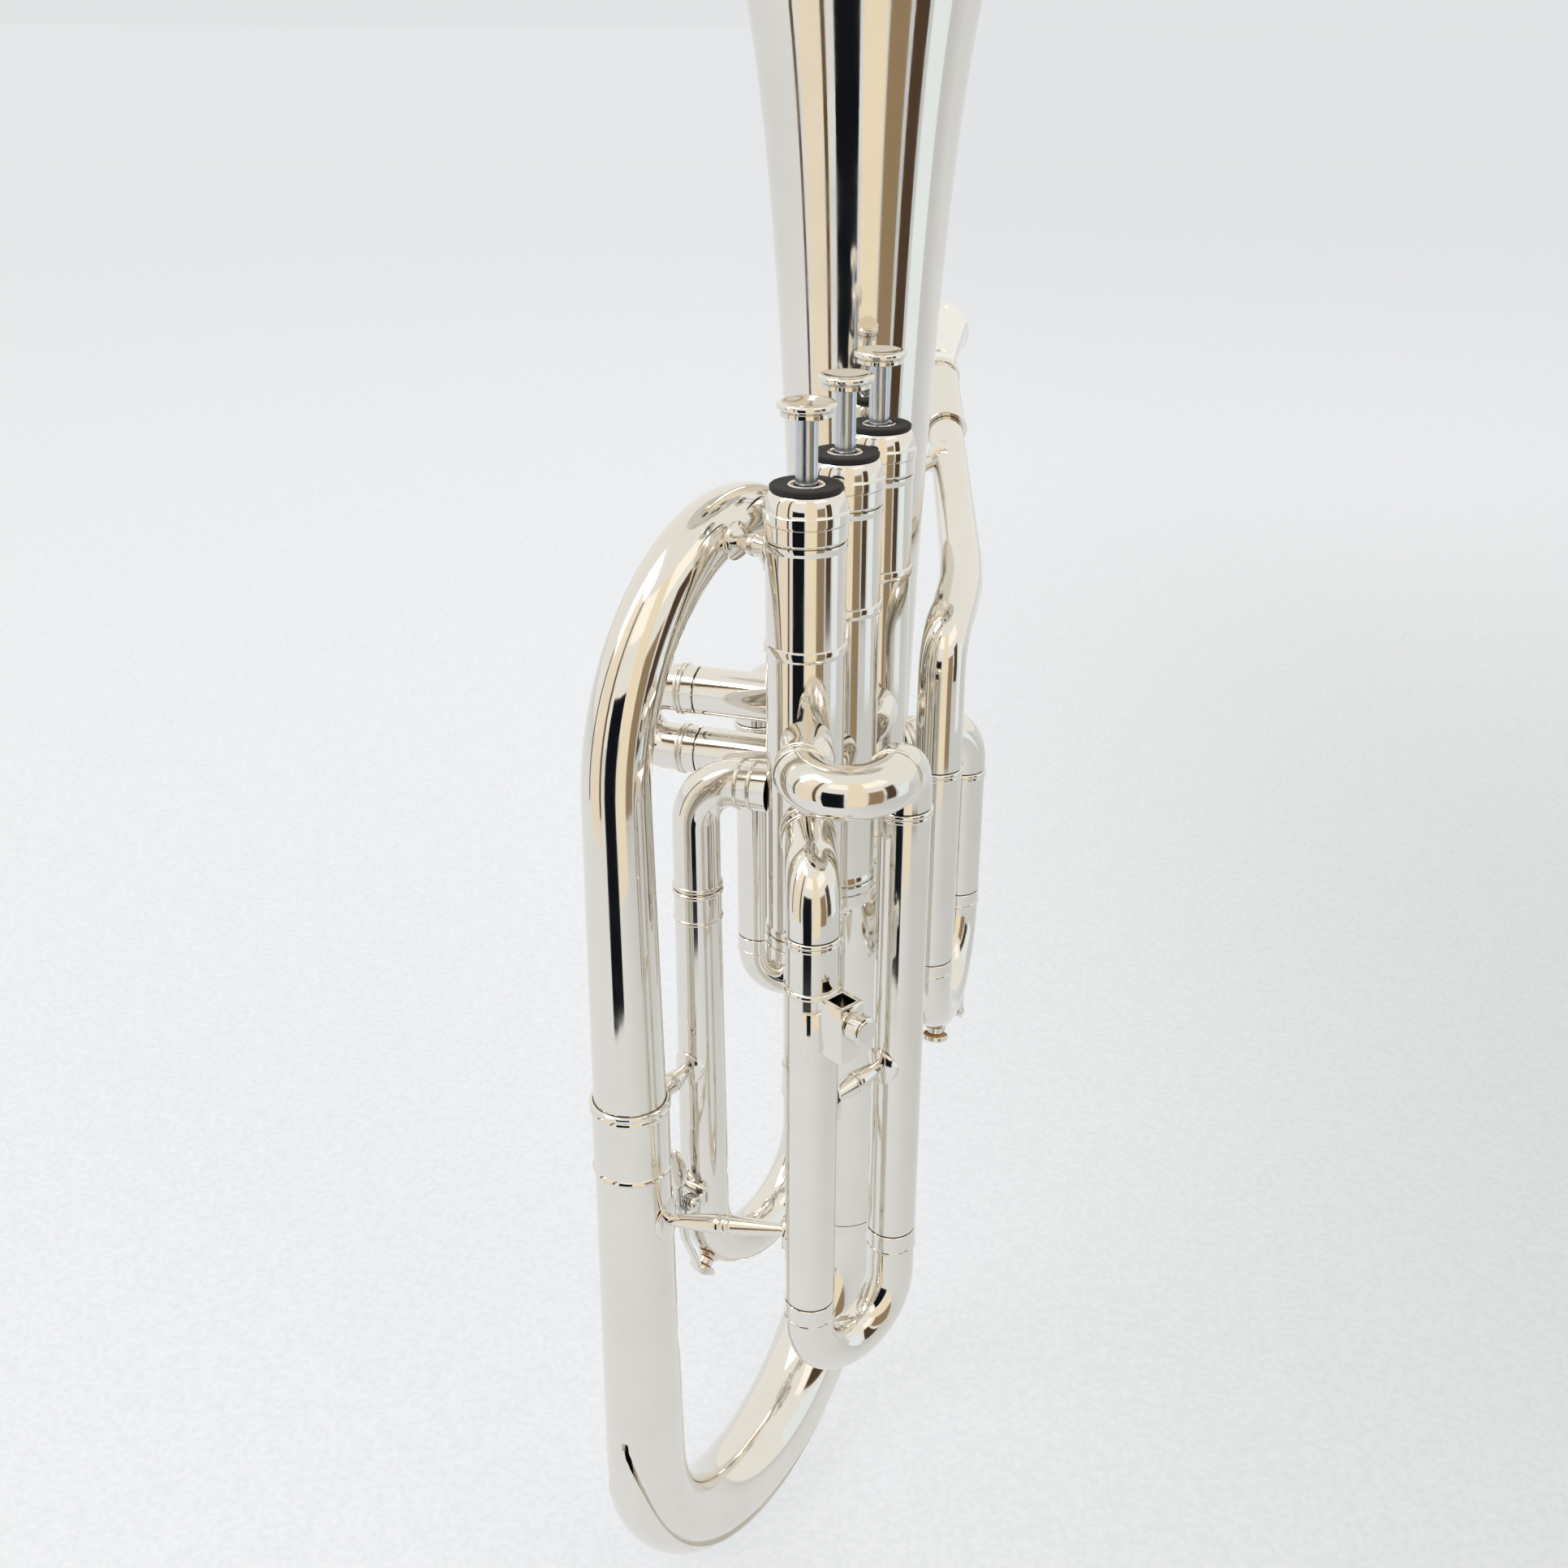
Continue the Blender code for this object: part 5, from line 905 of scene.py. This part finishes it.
def saddlePlate(at, way, radius, out, wide, tall, oval=True):
    # A plate that wraps a tube, where a brace or a box is soldered on
    s = braceShape
    shell = lathe(at - way * tall * 1.5 * millimetre, way,
                  [(0, radius + s["plate"]), (tall * 3, radius + s["plate"]),
                   (tall * 3, radius - s["sunk"]), (0, radius - s["sunk"])], 96, hollow=True)
    level = way.cross(out).normalized()
    face = (way - out * way.dot(out)).normalized()
    bpy.ops.object.select_all(action="DESELECT")
    if oval:
        bpy.ops.mesh.primitive_cylinder_add(vertices=48, radius=1, depth=2)
    else:
        bpy.ops.mesh.primitive_cube_add(size=2)
    tool = bpy.context.object
    turn = Matrix((level, face, out)).transposed().to_4x4()
    size = Matrix.Diagonal((wide * millimetre, tall * millimetre,
                            (radius + 2) / 2 * millimetre, 1))
    tool.matrix_world = Matrix.Translation(at + out * (radius + 2) / 2 * millimetre) @ turn @ size
    bpy.ops.object.transform_apply(location=True, rotation=True, scale=True)
    plate = carved(shell, tool, "INTERSECT")
    return softened(plate, 0.3, 2, 60)


def brace(name, node, a, radiusA, b, radiusB, wayA=up, wayB=up, plates=(True, True)):
    out = (b - a).normalized()
    start = a + out * (radiusA - 0.4) * millimetre
    length = ((b - a).length / millimetre) - radiusA - radiusB + 0.8
    profile = [(length * share, radius) for share, radius in braceShape["curve"]]
    pieces = [lathe(start, out, profile, 40)]
    if plates[0]:
        pieces.append(saddlePlate(a, wayA, radiusA, out, braceShape["wide"], braceShape["tall"][0]))
    if plates[1]:
        pieces.append(saddlePlate(b, wayB, radiusB, -out, braceShape["wide"], braceShape["tall"][1]))
    present(name, node, "horn", pieces)


braces = {"slideHeights": (-90, -87), "upperHeights": (-112, -106), "lowerHeights": (-146.2, -130.4),
          "topHeight": 51.5, "bellSetback": 14}
thirdLeft, thirdRight = thirdSlide["left"], thirdSlide["right"]
brace("slideBrace", "slide_brace", leg(thirdLeft, braces["slideHeights"][0]), 7,
      leg(thirdRight, braces["slideHeights"][1]), 7)
brace("upperBranchBrace", "upper_branch_brace", leg(branch["place"], braces["upperHeights"][0]),
      11.15, leg(secondTube["place"], braces["upperHeights"][1]), 6.8)
brace("lowerBranchBrace", "lower_branch_brace", leg(branch["place"], braces["lowerHeights"][0]),
      11.15, leg(thirdLeft, braces["lowerHeights"][1]), 7)
bowWay = (leg(riser["place"], 0) - leg(branch["place"], 0)).normalized()
overValve = metres(0, -35, 0)
bowPoint = leg(riser["place"], 0) + bowWay * (overValve - leg(riser["place"], 0)).dot(bowWay)
brace("topBowBrace", "top_bow_brace", overValve + metres(0, 0, braces["topHeight"]), 10.4,
      bowPoint + metres(0, 0, braces["topHeight"]), 8.9, up, bowWay)
pipeWay = Vector(leadpipe["way"]).normalized()
onPipe = metres(*leadpipe["end"]) - pipeWay * braces["bellSetback"] * millimetre
height = onPipe.z / millimetre
brace("bellBrace", "bell_brace", leg(bell["axis"], height), flare(bell["top"] - height), onPipe,
      6.2, up, pipeWay)
print("braces done")


# ---- lyre box

lyre = {"top": -50, "height": 16.5, "width": 8, "socket": 5.2, "turn": -30, "screwDrop": 5.5,
        "head": 4.2, "neck": 2.0, "headLength": 4.8, "teeth": 30, "collar": -0.6}


def makeLyreBox(s):
    turn = Matrix.Rotation(math.radians(s["turn"]), 4, "Z")
    out = turn.to_3x3() @ Vector((1, 0, 0))
    middle = leg(thirdLeft, s["top"] - s["height"] / 2)
    reach = slides["sleeve"] + s["width"]
    holder = block((reach - 4, s["width"], s["height"]), ((reach + 4) / 2, 0, 0))
    softened(holder, 0.5, 2)
    socketMiddle = slides["sleeve"] + s["width"] / 2
    carved(holder, block((s["socket"], s["socket"], 2 * s["height"]), (socketMiddle, 0, 0)))
    softened(holder, 0.15, 1, 70)
    placed(holder, Matrix.Translation(middle) @ turn)
    plate = saddlePlate(middle - metres(0, 0, 2.8), up, slides["sleeve"], out, 6.4, 6.2, False)
    collar = beadRing(leg(thirdLeft, s["top"] + s["collar"]), up, slides["sleeve"], 1.8, 0.7)
    present("lyreBox", "lyre_box", "horn", [holder, plate, collar])
    wall = leg(thirdLeft, s["top"] - s["screwDrop"]) + out * (socketMiddle + s["socket"] / 2) \
        * millimetre
    low, high, head = s["neck"], s["neck"] + s["headLength"], s["head"]
    profile = [(0.3, 2.5), (low - 0.6, 2.5), (low - 0.2, 2.9), (low, 3.2), (low, head - 0.4),
               (low + 0.4, head), (high - 0.7, head), (high - 0.5, head - 0.45),
               (high - 0.15, head - 0.65), (high, head - 0.95), (high, 0.3)]
    screw = lathe(wall, out, profile, 2 * s["teeth"])
    milled(screw, wall, out, (low + 0.3, high - 0.6), s["teeth"], 0.07)
    present("lyreScrew", "lyre_screw", "lyre_screw", [screw])


makeLyreBox(lyre)
print("lyre box done")


# ---- water keys

waterKey = {"standoff": 4.4, "barrel": 2.0, "half": 4.8, "pin": 0.8, "ear": 1.0, "earRadius": 2.4,
            "pad": 4.4, "padThick": 2.6, "nipple": 2.6, "nippleHeight": 3.0, "touch": (14, 9, 1.8),
            "armThick": 0.85, "armWide": 1.9}
keyPlaces = {
    "small": {"ends": (riser["place"], secondTube["place"]), "bottom": smallBow["bottom"],
              "radius": 7.2, "angle": 0, "lift": 8.5, "padAngle": -40, "touch": (2.4, 12)},
    "main": {"ends": (mainSlide["front"], mainSlide["back"]), "bottom": -mainSlide["bottom"],
             "radius": 6.9, "angle": -75, "lift": 0, "padAngle": -105, "touch": (-2, 18)}}


def keySettings(name):
    s = keyPlaces[name]
    first, last = (metres(*place, 0) for place in s["ends"])
    half = (last - first).length / 2
    side = (last - first).normalized()
    centre = (first + last) / 2 + metres(0, 0, s["bottom"]) + up * half
    return s, centre, side, half


def keyFrame(name):
    s, centre, side, half = keySettings(name)
    angle = math.radians(s["angle"])
    out = side * math.cos(angle) + up * math.sin(angle)
    along = up * math.cos(angle) - side * math.sin(angle)
    origin = centre + out * (half + (s["radius"] + waterKey["standoff"]) * millimetre)
    origin += along * s["lift"] * millimetre
    turn = Matrix((out, along.cross(out), along)).transposed().to_4x4()
    return Matrix.Translation(origin) @ turn


def padPlace(name):
    s, centre, side, half = keySettings(name)
    angle = math.radians(s["padAngle"])
    out = side * math.cos(angle) + up * math.sin(angle)
    return centre + out * (half + s["radius"] * millimetre), out


def keyFoot(name):
    # Nipple on the bow, and the saddle with two ears and the hinge pin
    s = waterKey
    place, out = padPlace(name)
    nipple = lathe(place, out, [(-1.5, 3.6), (0.1, 3.5), (0.6, 3.1), (0.9, s["nipple"]),
                                (s["nippleHeight"] - 0.3, s["nipple"] - 0.1),
                                (s["nippleHeight"], s["nipple"] - 0.4)], 40)
    inside = s["half"] + 0.3
    depth = s["standoff"] + 2.2
    pieces = []
    across = Vector((0, 1, 0))
    for hand in (-1, 1):
        middle = hand * (inside + s["ear"] / 2)
        ear = block((depth, s["ear"], 4.0), (-depth / 2, middle, 0))
        softened(ear, 0.2, 1)
        disc = lathe(metres(0, middle - s["ear"] / 2, 0), across,
                     [(0, s["earRadius"] - 0.15), (0.15, s["earRadius"]),
                      (s["ear"] - 0.15, s["earRadius"]), (s["ear"], s["earRadius"] - 0.15)], 40)
        head = lathe(metres(0, middle, 0), across * hand,
                     [(0, 1.2), (s["ear"] / 2 + 0.3, 1.2), (s["ear"] / 2 + 0.5, 0.9),
                      (s["ear"] / 2 + 0.5, 0.2)], 24)
        pieces += [ear, disc, head]
    base = block((2.4, 2 * (inside + s["ear"]), 7), (-s["standoff"] - 0.6, 0, 0))
    softened(base, 0.7, 3)
    pin = lathe(metres(0, -inside, 0), across, [(0, s["pin"]), (2 * inside, s["pin"])], 24)
    saddle = placed(joined(pieces + [base, pin]), keyFrame(name))
    return [nipple, saddle]


def makeWaterKey(name):
    s, own = waterKey, keyPlaces[name]
    matrix = keyFrame(name)
    place, out = padPlace(name)
    padMiddle = matrix.inverted() @ (place + out * (s["nippleHeight"] + 0.3
                                                    + s["padThick"] * 0.7) * millimetre)
    touchX, touchZ = own["touch"]
    start = Vector((padMiddle.x, 0, padMiddle.z)) / millimetre
    knots = [start, Vector(((start.x + 0.8) / 2 + 2.2, 0, start.z / 2)), Vector((1.3, 0, -2.5)),
             Vector((1.3, 0, 2.5)), Vector((touchX, 0, touchZ))]
    corners = [knot * millimetre for knot in knots]
    arm = sweep(route(corners, [9, 9, 9], s["armThick"]), 20)
    bpy.ops.object.mode_set(mode="EDIT")
    bpy.ops.mesh.select_all(action="SELECT")
    bpy.ops.transform.resize(value=(1, s["armWide"] / s["armThick"], 1), center_override=(0, 0, 0))
    bpy.ops.object.mode_set(mode="OBJECT")
    across = Vector((0, 1, 0))
    barrel = lathe(metres(0, -s["half"], 0), across,
                   [(0, 1.1), (0, s["barrel"] - 0.2), (0.2, s["barrel"]), (2.6, s["barrel"]),
                    (2.9, s["barrel"] + 0.3), (6.7, s["barrel"] + 0.3), (7.0, s["barrel"]),
                    (2 * s["half"] - 0.2, s["barrel"]), (2 * s["half"], s["barrel"] - 0.2),
                    (2 * s["half"], 1.1)], 40, True)
    long, wide, thick = s["touch"]
    plate = lathe(metres(0, 0, 0), Vector((1, 0, 0)),
                  [(-0.5, 0.92), (-0.42, 0.98), (-0.2, 1.0), (0.0, 0.985), (0.2, 0.93),
                   (0.34, 0.8), (0.43, 0.6), (0.48, 0.35), (0.5, 0.1)], 48)
    size = Matrix.Diagonal((thick, wide / 2, long / 2, 1))
    placed(plate, Matrix.Translation(metres(touchX, 0, touchZ)) @ size)
    local = placed(joined([arm, barrel, plate]), matrix)
    base = s["nippleHeight"] + 0.3
    cup = lathe(place, out, [(base, s["pad"] - 0.5), (base, s["pad"] - 0.15),
                             (base + 0.2, s["pad"]), (base + 1.3, s["pad"]),
                             (base + 1.7, s["pad"] - 0.5), (base + 2.1, s["pad"] - 1.6),
                             (base + s["padThick"], s["pad"] - 2.3), (base + s["padThick"], 0.2)],
                12)
    present(f"{name}WaterKey", f"{name}_water_key", f"{name}_water_key", [local, cup], smooth=32)
    cork = lathe(place, out, [(base - 0.25, 0.2), (base - 0.25, s["pad"] - 0.9),
                              (base, s["pad"] - 0.7), (base + 0.3, s["pad"] - 0.7)], 32)
    present(f"{name}KeyCork", None, f"{name}_water_key", [cork], corkCut)


present("smallBow", "small_bow", "horn", smallBowPieces + keyFoot("small"))
present("mainSlideBow", "main_slide", "main_slide", mainSlidePieces + keyFoot("main"))
makeWaterKey("small")
makeWaterKey("main")
print("water keys done")


# ---- CAD nodes that stay get their finish

for node, material in (("piston_1", monelHoned), ("piston_2", monelHoned),
                       ("piston_3", monelHoned), ("valve_spring_1", springWire),
                       ("valve_spring_2", springWire), ("valve_spring_3", springWire),
                       ("small_key_spring", springWire), ("main_key_spring", springWire)):
    for slotOfNode in bpy.data.objects[node].material_slots:
        slotOfNode.material = material

# A valve spring is pressed together from its fixed end as its piston goes down; here each spring only gets
# its length above that end and a mesh of its own
springs = {"fixedEnd": 29.3, "press": 15.5}
for number, place in valveSet["places"].items():
    coil = bpy.data.objects[f"valve_spring_{number}"]
    length = max((coil.matrix_world @ vertex.co).z for vertex in coil.data.vertices) / millimetre
    length -= springs["fixedEnd"]
    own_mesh(coil)


# ---- floor, cards, lights and camera

# paper and paperShade give each fibre tone twice: first the paper's own tone, then the same tone painted
# darker as shade on the side away from the window
stageSet = {"paper": ("#E9EAEC", "#D3D5D6"), "paperShade": ("#E2E4E6", "#CED0D1"),
            "even": 0.88, "drop": 0.0012, "size": 60.0, "fibre": 2.5, "right": (0.952, 0.306, 0),
            "farPaper": "#E2E4E5", "falls": (-0.15, 0.5), "away": (-0.306, 0.952, 0), "fades": (0.15, 1.6)}
# Glowing cards hidden from the camera: painted reflections of the room for the bright metal, the dark card
# a painted dark reflection
# Bearing from the way to the camera (left is minus), bearing width, distance, low and high edge
cards = {
    "darkCard": {"colour": "#15171C", "bearing": -19, "width": 30, "far": 0.46, "low": -0.31,
                 "high": 0.14, "strength": 1.0},
    "creamCard": {"colour": "#F4E6CB", "bearing": 14, "width": 26, "far": 0.58, "low": -0.31,
                  "high": 0.9, "strength": 1.1},
    "tanCard": {"colour": "#A58E6E", "bearing": 40, "width": 22, "far": 0.62, "low": -0.29,
                "high": 0.2, "strength": 0.9},
    "brownCard": {"colour": "#5E4A3A", "bearing": 64, "width": 16, "far": 0.66, "low": -0.2,
                  "high": 0.3, "strength": 0.8},
    "windowCard": {"colour": "#E3ECF0", "bearing": 88, "width": 22, "far": 0.7, "low": -0.28,
                   "high": 0.12, "strength": 1.2},
    "curtainCard": {"colour": "#EFE3CF", "bearing": -58, "width": 34, "far": 0.7, "low": -0.31,
                    "high": 0.9, "strength": 1.1},
    "railCard": {"colour": "#6E5A45", "bearing": -46, "width": 5, "far": 0.62, "low": -0.25,
                 "high": 0.8, "strength": 0.8},
    "postCard": {"colour": "#7A6650", "bearing": -82, "width": 4, "far": 0.72, "low": -0.25,
                 "high": 0.8, "strength": 0.8},
    "ceilingCard": {"colour": "#FFF8EC", "bearing": 20, "width": 110, "far": 1.3, "low": 0.95,
                    "high": 1.9, "strength": 1.25}}


def makeCard(name, s):
    # An upright glowing card that only the bright metal shows, a painted reflection of the room that
    # lights nothing; it bends round the horn in flat strips
    toCamera = math.radians(-74.3)
    bpy.ops.object.select_all(action="DESELECT")
    strips = max(1, round(s["width"] / 12))
    pieces = []
    for k in range(strips):
        bearing = toCamera + math.radians(s["bearing"] + s["width"] * ((k + 0.5) / strips - 0.5))
        wide = 2.04 * s["far"] * math.tan(math.radians(s["width"] / strips / 2))
        tall = s["high"] - s["low"]
        place = (s["far"] * math.cos(bearing), s["far"] * math.sin(bearing), s["low"] + tall / 2)
        bpy.ops.mesh.primitive_plane_add(size=1, location=place,
                                         rotation=(math.pi / 2, 0, bearing - math.pi / 2))
        piece = bpy.context.object
        piece.scale = (wide, tall, 1)
        bpy.ops.object.transform_apply(location=True, rotation=True, scale=True)
        pieces.append(piece)
    piece = joined(pieces)
    piece.name = piece.data.name = name
    material, tree = emptyMaterial(f"{name}Paper")
    # The glow is a painted reflection: the card is no lamp and lights nothing
    shader = addNode(tree, "ShaderNodeEmission", {"Color": hexColour(s["colour"]),
                                                  "Strength": s["strength"]})
    finishMaterial(tree, shader)
    piece.data.materials.append(material)
    piece.visible_camera = False
    piece.visible_diffuse = False
    piece.visible_shadow = False
    piece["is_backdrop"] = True


def seenShare(tree, share):
    # How much of the even paper tone a ray gets: only those that see the paper, not light
    path = addNode(tree, "ShaderNodeLightPath")
    seen = addNode(tree, "ShaderNodeMath", {"operation": "ADD"})
    tree.links.new(path.outputs["Is Camera Ray"], seen.inputs[0])
    tree.links.new(path.outputs["Is Glossy Ray"], seen.inputs[1])
    more = addNode(tree, "ShaderNodeMath", {"operation": "ADD", "use_clamp": True})
    tree.links.new(seen.outputs[0], more.inputs[0])
    tree.links.new(path.outputs["Is Transmission Ray"], more.inputs[1])
    part = addNode(tree, "ShaderNodeMath", {"operation": "MULTIPLY"})
    tree.links.new(more.outputs[0], part.inputs[0])
    part.inputs[1].default_value = share
    return part.outputs[0]


def makeFloor(s):
    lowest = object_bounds()[0][2]
    bpy.ops.object.select_all(action="DESELECT")
    bpy.ops.mesh.primitive_plane_add(size=s["size"], location=(0, 0, lowest - s["drop"]))
    floor = bpy.context.object
    bpy.ops.object.transform_apply(location=True, rotation=True, scale=True)
    floor.name = floor.data.name = "floor"
    material, tree = emptyMaterial("paperRolled")
    place = addNode(tree, "ShaderNodeTexCoord").outputs["Object"]
    fibre = addNode(tree, "ShaderNodeTexNoise", {"Scale": 1000 / s["fibre"], "Detail": 3.0},
                    {"Vector": place})
    # Painted shade: the side away from the window is painted a little darker near the horn, and even again
    # far off
    shares = []
    for axis, span, ends in (("right", "falls", (0, 1)), ("away", "fades", (1, 0.15))):
        along = addNode(tree, "ShaderNodeVectorMath", {"operation": "DOT_PRODUCT"})
        tree.links.new(place, along.inputs[0])
        along.inputs[1].default_value = s[axis]
        share = addNode(tree, "ShaderNodeMapRange", {"interpolation_type": "SMOOTHSTEP",
                        "From Min": s[span][0], "From Max": s[span][1], "To Min": ends[0],
                        "To Max": ends[1]}, {"Value": along.outputs["Value"]})
        shares.append(share.outputs[0])
    paintedShadeShare = addNode(tree, "ShaderNodeMath", {"operation": "MULTIPLY"})
    tree.links.new(shares[0], paintedShadeShare.inputs[0])
    tree.links.new(shares[1], paintedShadeShare.inputs[1])
    # Side 0 holds the paper's own tones, side 1 the same paper with painted shade
    tones = []
    for side in (0, 1):
        ramp = addNode(tree, "ShaderNodeValToRGB", links={"Fac": fibre.outputs[0]})
        for element, position, key in zip(ramp.color_ramp.elements, (0.35, 0.65),
                                          ("paperShade", "paper")):
            element.position = position
            element.color = hexColour(s[key][side])
        tones.append(ramp.outputs[0])
    tone = addNode(tree, "ShaderNodeMix", {"data_type": "RGBA"}, {"Factor": paintedShadeShare.outputs[0]})
    tree.links.new(tones[0], tone.inputs[6])
    tree.links.new(tones[1], tone.inputs[7])
    toneOut = tone.outputs[2]
    matt = addNode(tree, "ShaderNodeBsdfPrincipled", {"Roughness": 0.9,
                   "Specular IOR Level": 0.1}, {"Base Color": toneOut})
    even = addNode(tree, "ShaderNodeEmission", {"Strength": 1.0}, {"Color": toneOut})
    mix = addNode(tree, "ShaderNodeMixShader")
    tree.links.new(seenShare(tree, s["even"]), mix.inputs[0])
    tree.links.new(matt.outputs[0], mix.inputs[1])
    tree.links.new(even.outputs[0], mix.inputs[2])
    finishMaterial(tree, mix)
    floor.data.materials.append(material)
    floor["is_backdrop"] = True


def softLamp(name, place, aim, size, power, colour, shown):
    lamp = bpy.data.lights.new(name, "AREA")
    lamp.shape = "RECTANGLE"
    lamp.size, lamp.size_y = size
    lamp.energy = power
    lamp.color = hexColour(colour)[:3]
    holder = bpy.data.objects.new(name, lamp)
    holder.location = place
    holder.rotation_euler = (Vector(aim) - Vector(place)).to_track_quat("-Z", "Y").to_euler()
    holder.visible_glossy = shown
    bpy.context.scene.collection.objects.link(holder)


makeFloor(stageSet)
for name, s in cards.items():
    makeCard(name, s)
softLamp("windowLamp", (-1.3, -0.9, 1.6), (0, 0, 0), (1.2, 1.6), 34, "#F3F7FF", True)
softLamp("roomLamp", (1.4, -0.6, 1.9), (0, 0, 0), (1.4, 1.4), 30, "#FFF6E8", False)
softLamp("backLamp", (0.2, 1.8, 1.7), (0, 0, 0), (2.0, 1.0), 24, "#FFFFFF", False)

world = bpy.data.worlds.new("studio")
world.use_nodes = True
tree = world.node_tree
tree.nodes.clear()
room = addNode(tree, "ShaderNodeBackground", {"Color": hexColour("#F1EFEA"), "Strength": 1.08})
paper = addNode(tree, "ShaderNodeBackground", {"Color": hexColour(stageSet["farPaper"])})
mixWorld = addNode(tree, "ShaderNodeMixShader")
rayPath = addNode(tree, "ShaderNodeLightPath")
tree.links.new(rayPath.outputs["Is Camera Ray"], mixWorld.inputs[0])
tree.links.new(room.outputs[0], mixWorld.inputs[1])
tree.links.new(paper.outputs[0], mixWorld.inputs[2])
addNode(tree, "ShaderNodeOutputWorld", links={"Surface": mixWorld.outputs[0]})
bpy.context.scene.world = world

view = {"place": (0.1222, -0.4339, 0.1805), "turn": (65.2, 0.0, 17.8), "lens": 39.13}
cameraData = bpy.data.cameras.new("photoView")
cameraData.lens = view["lens"]
cameraData.sensor_width = 36
cameraData.clip_start = 0.01
camera = bpy.data.objects.new("photoView", cameraData)
camera.location = view["place"]
camera.rotation_euler = [math.radians(angle) for angle in view["turn"]]
bpy.context.scene.collection.objects.link(camera)
bpy.context.scene.camera = camera
bpy.context.scene.view_settings.view_transform = "Standard"
print("stage done")
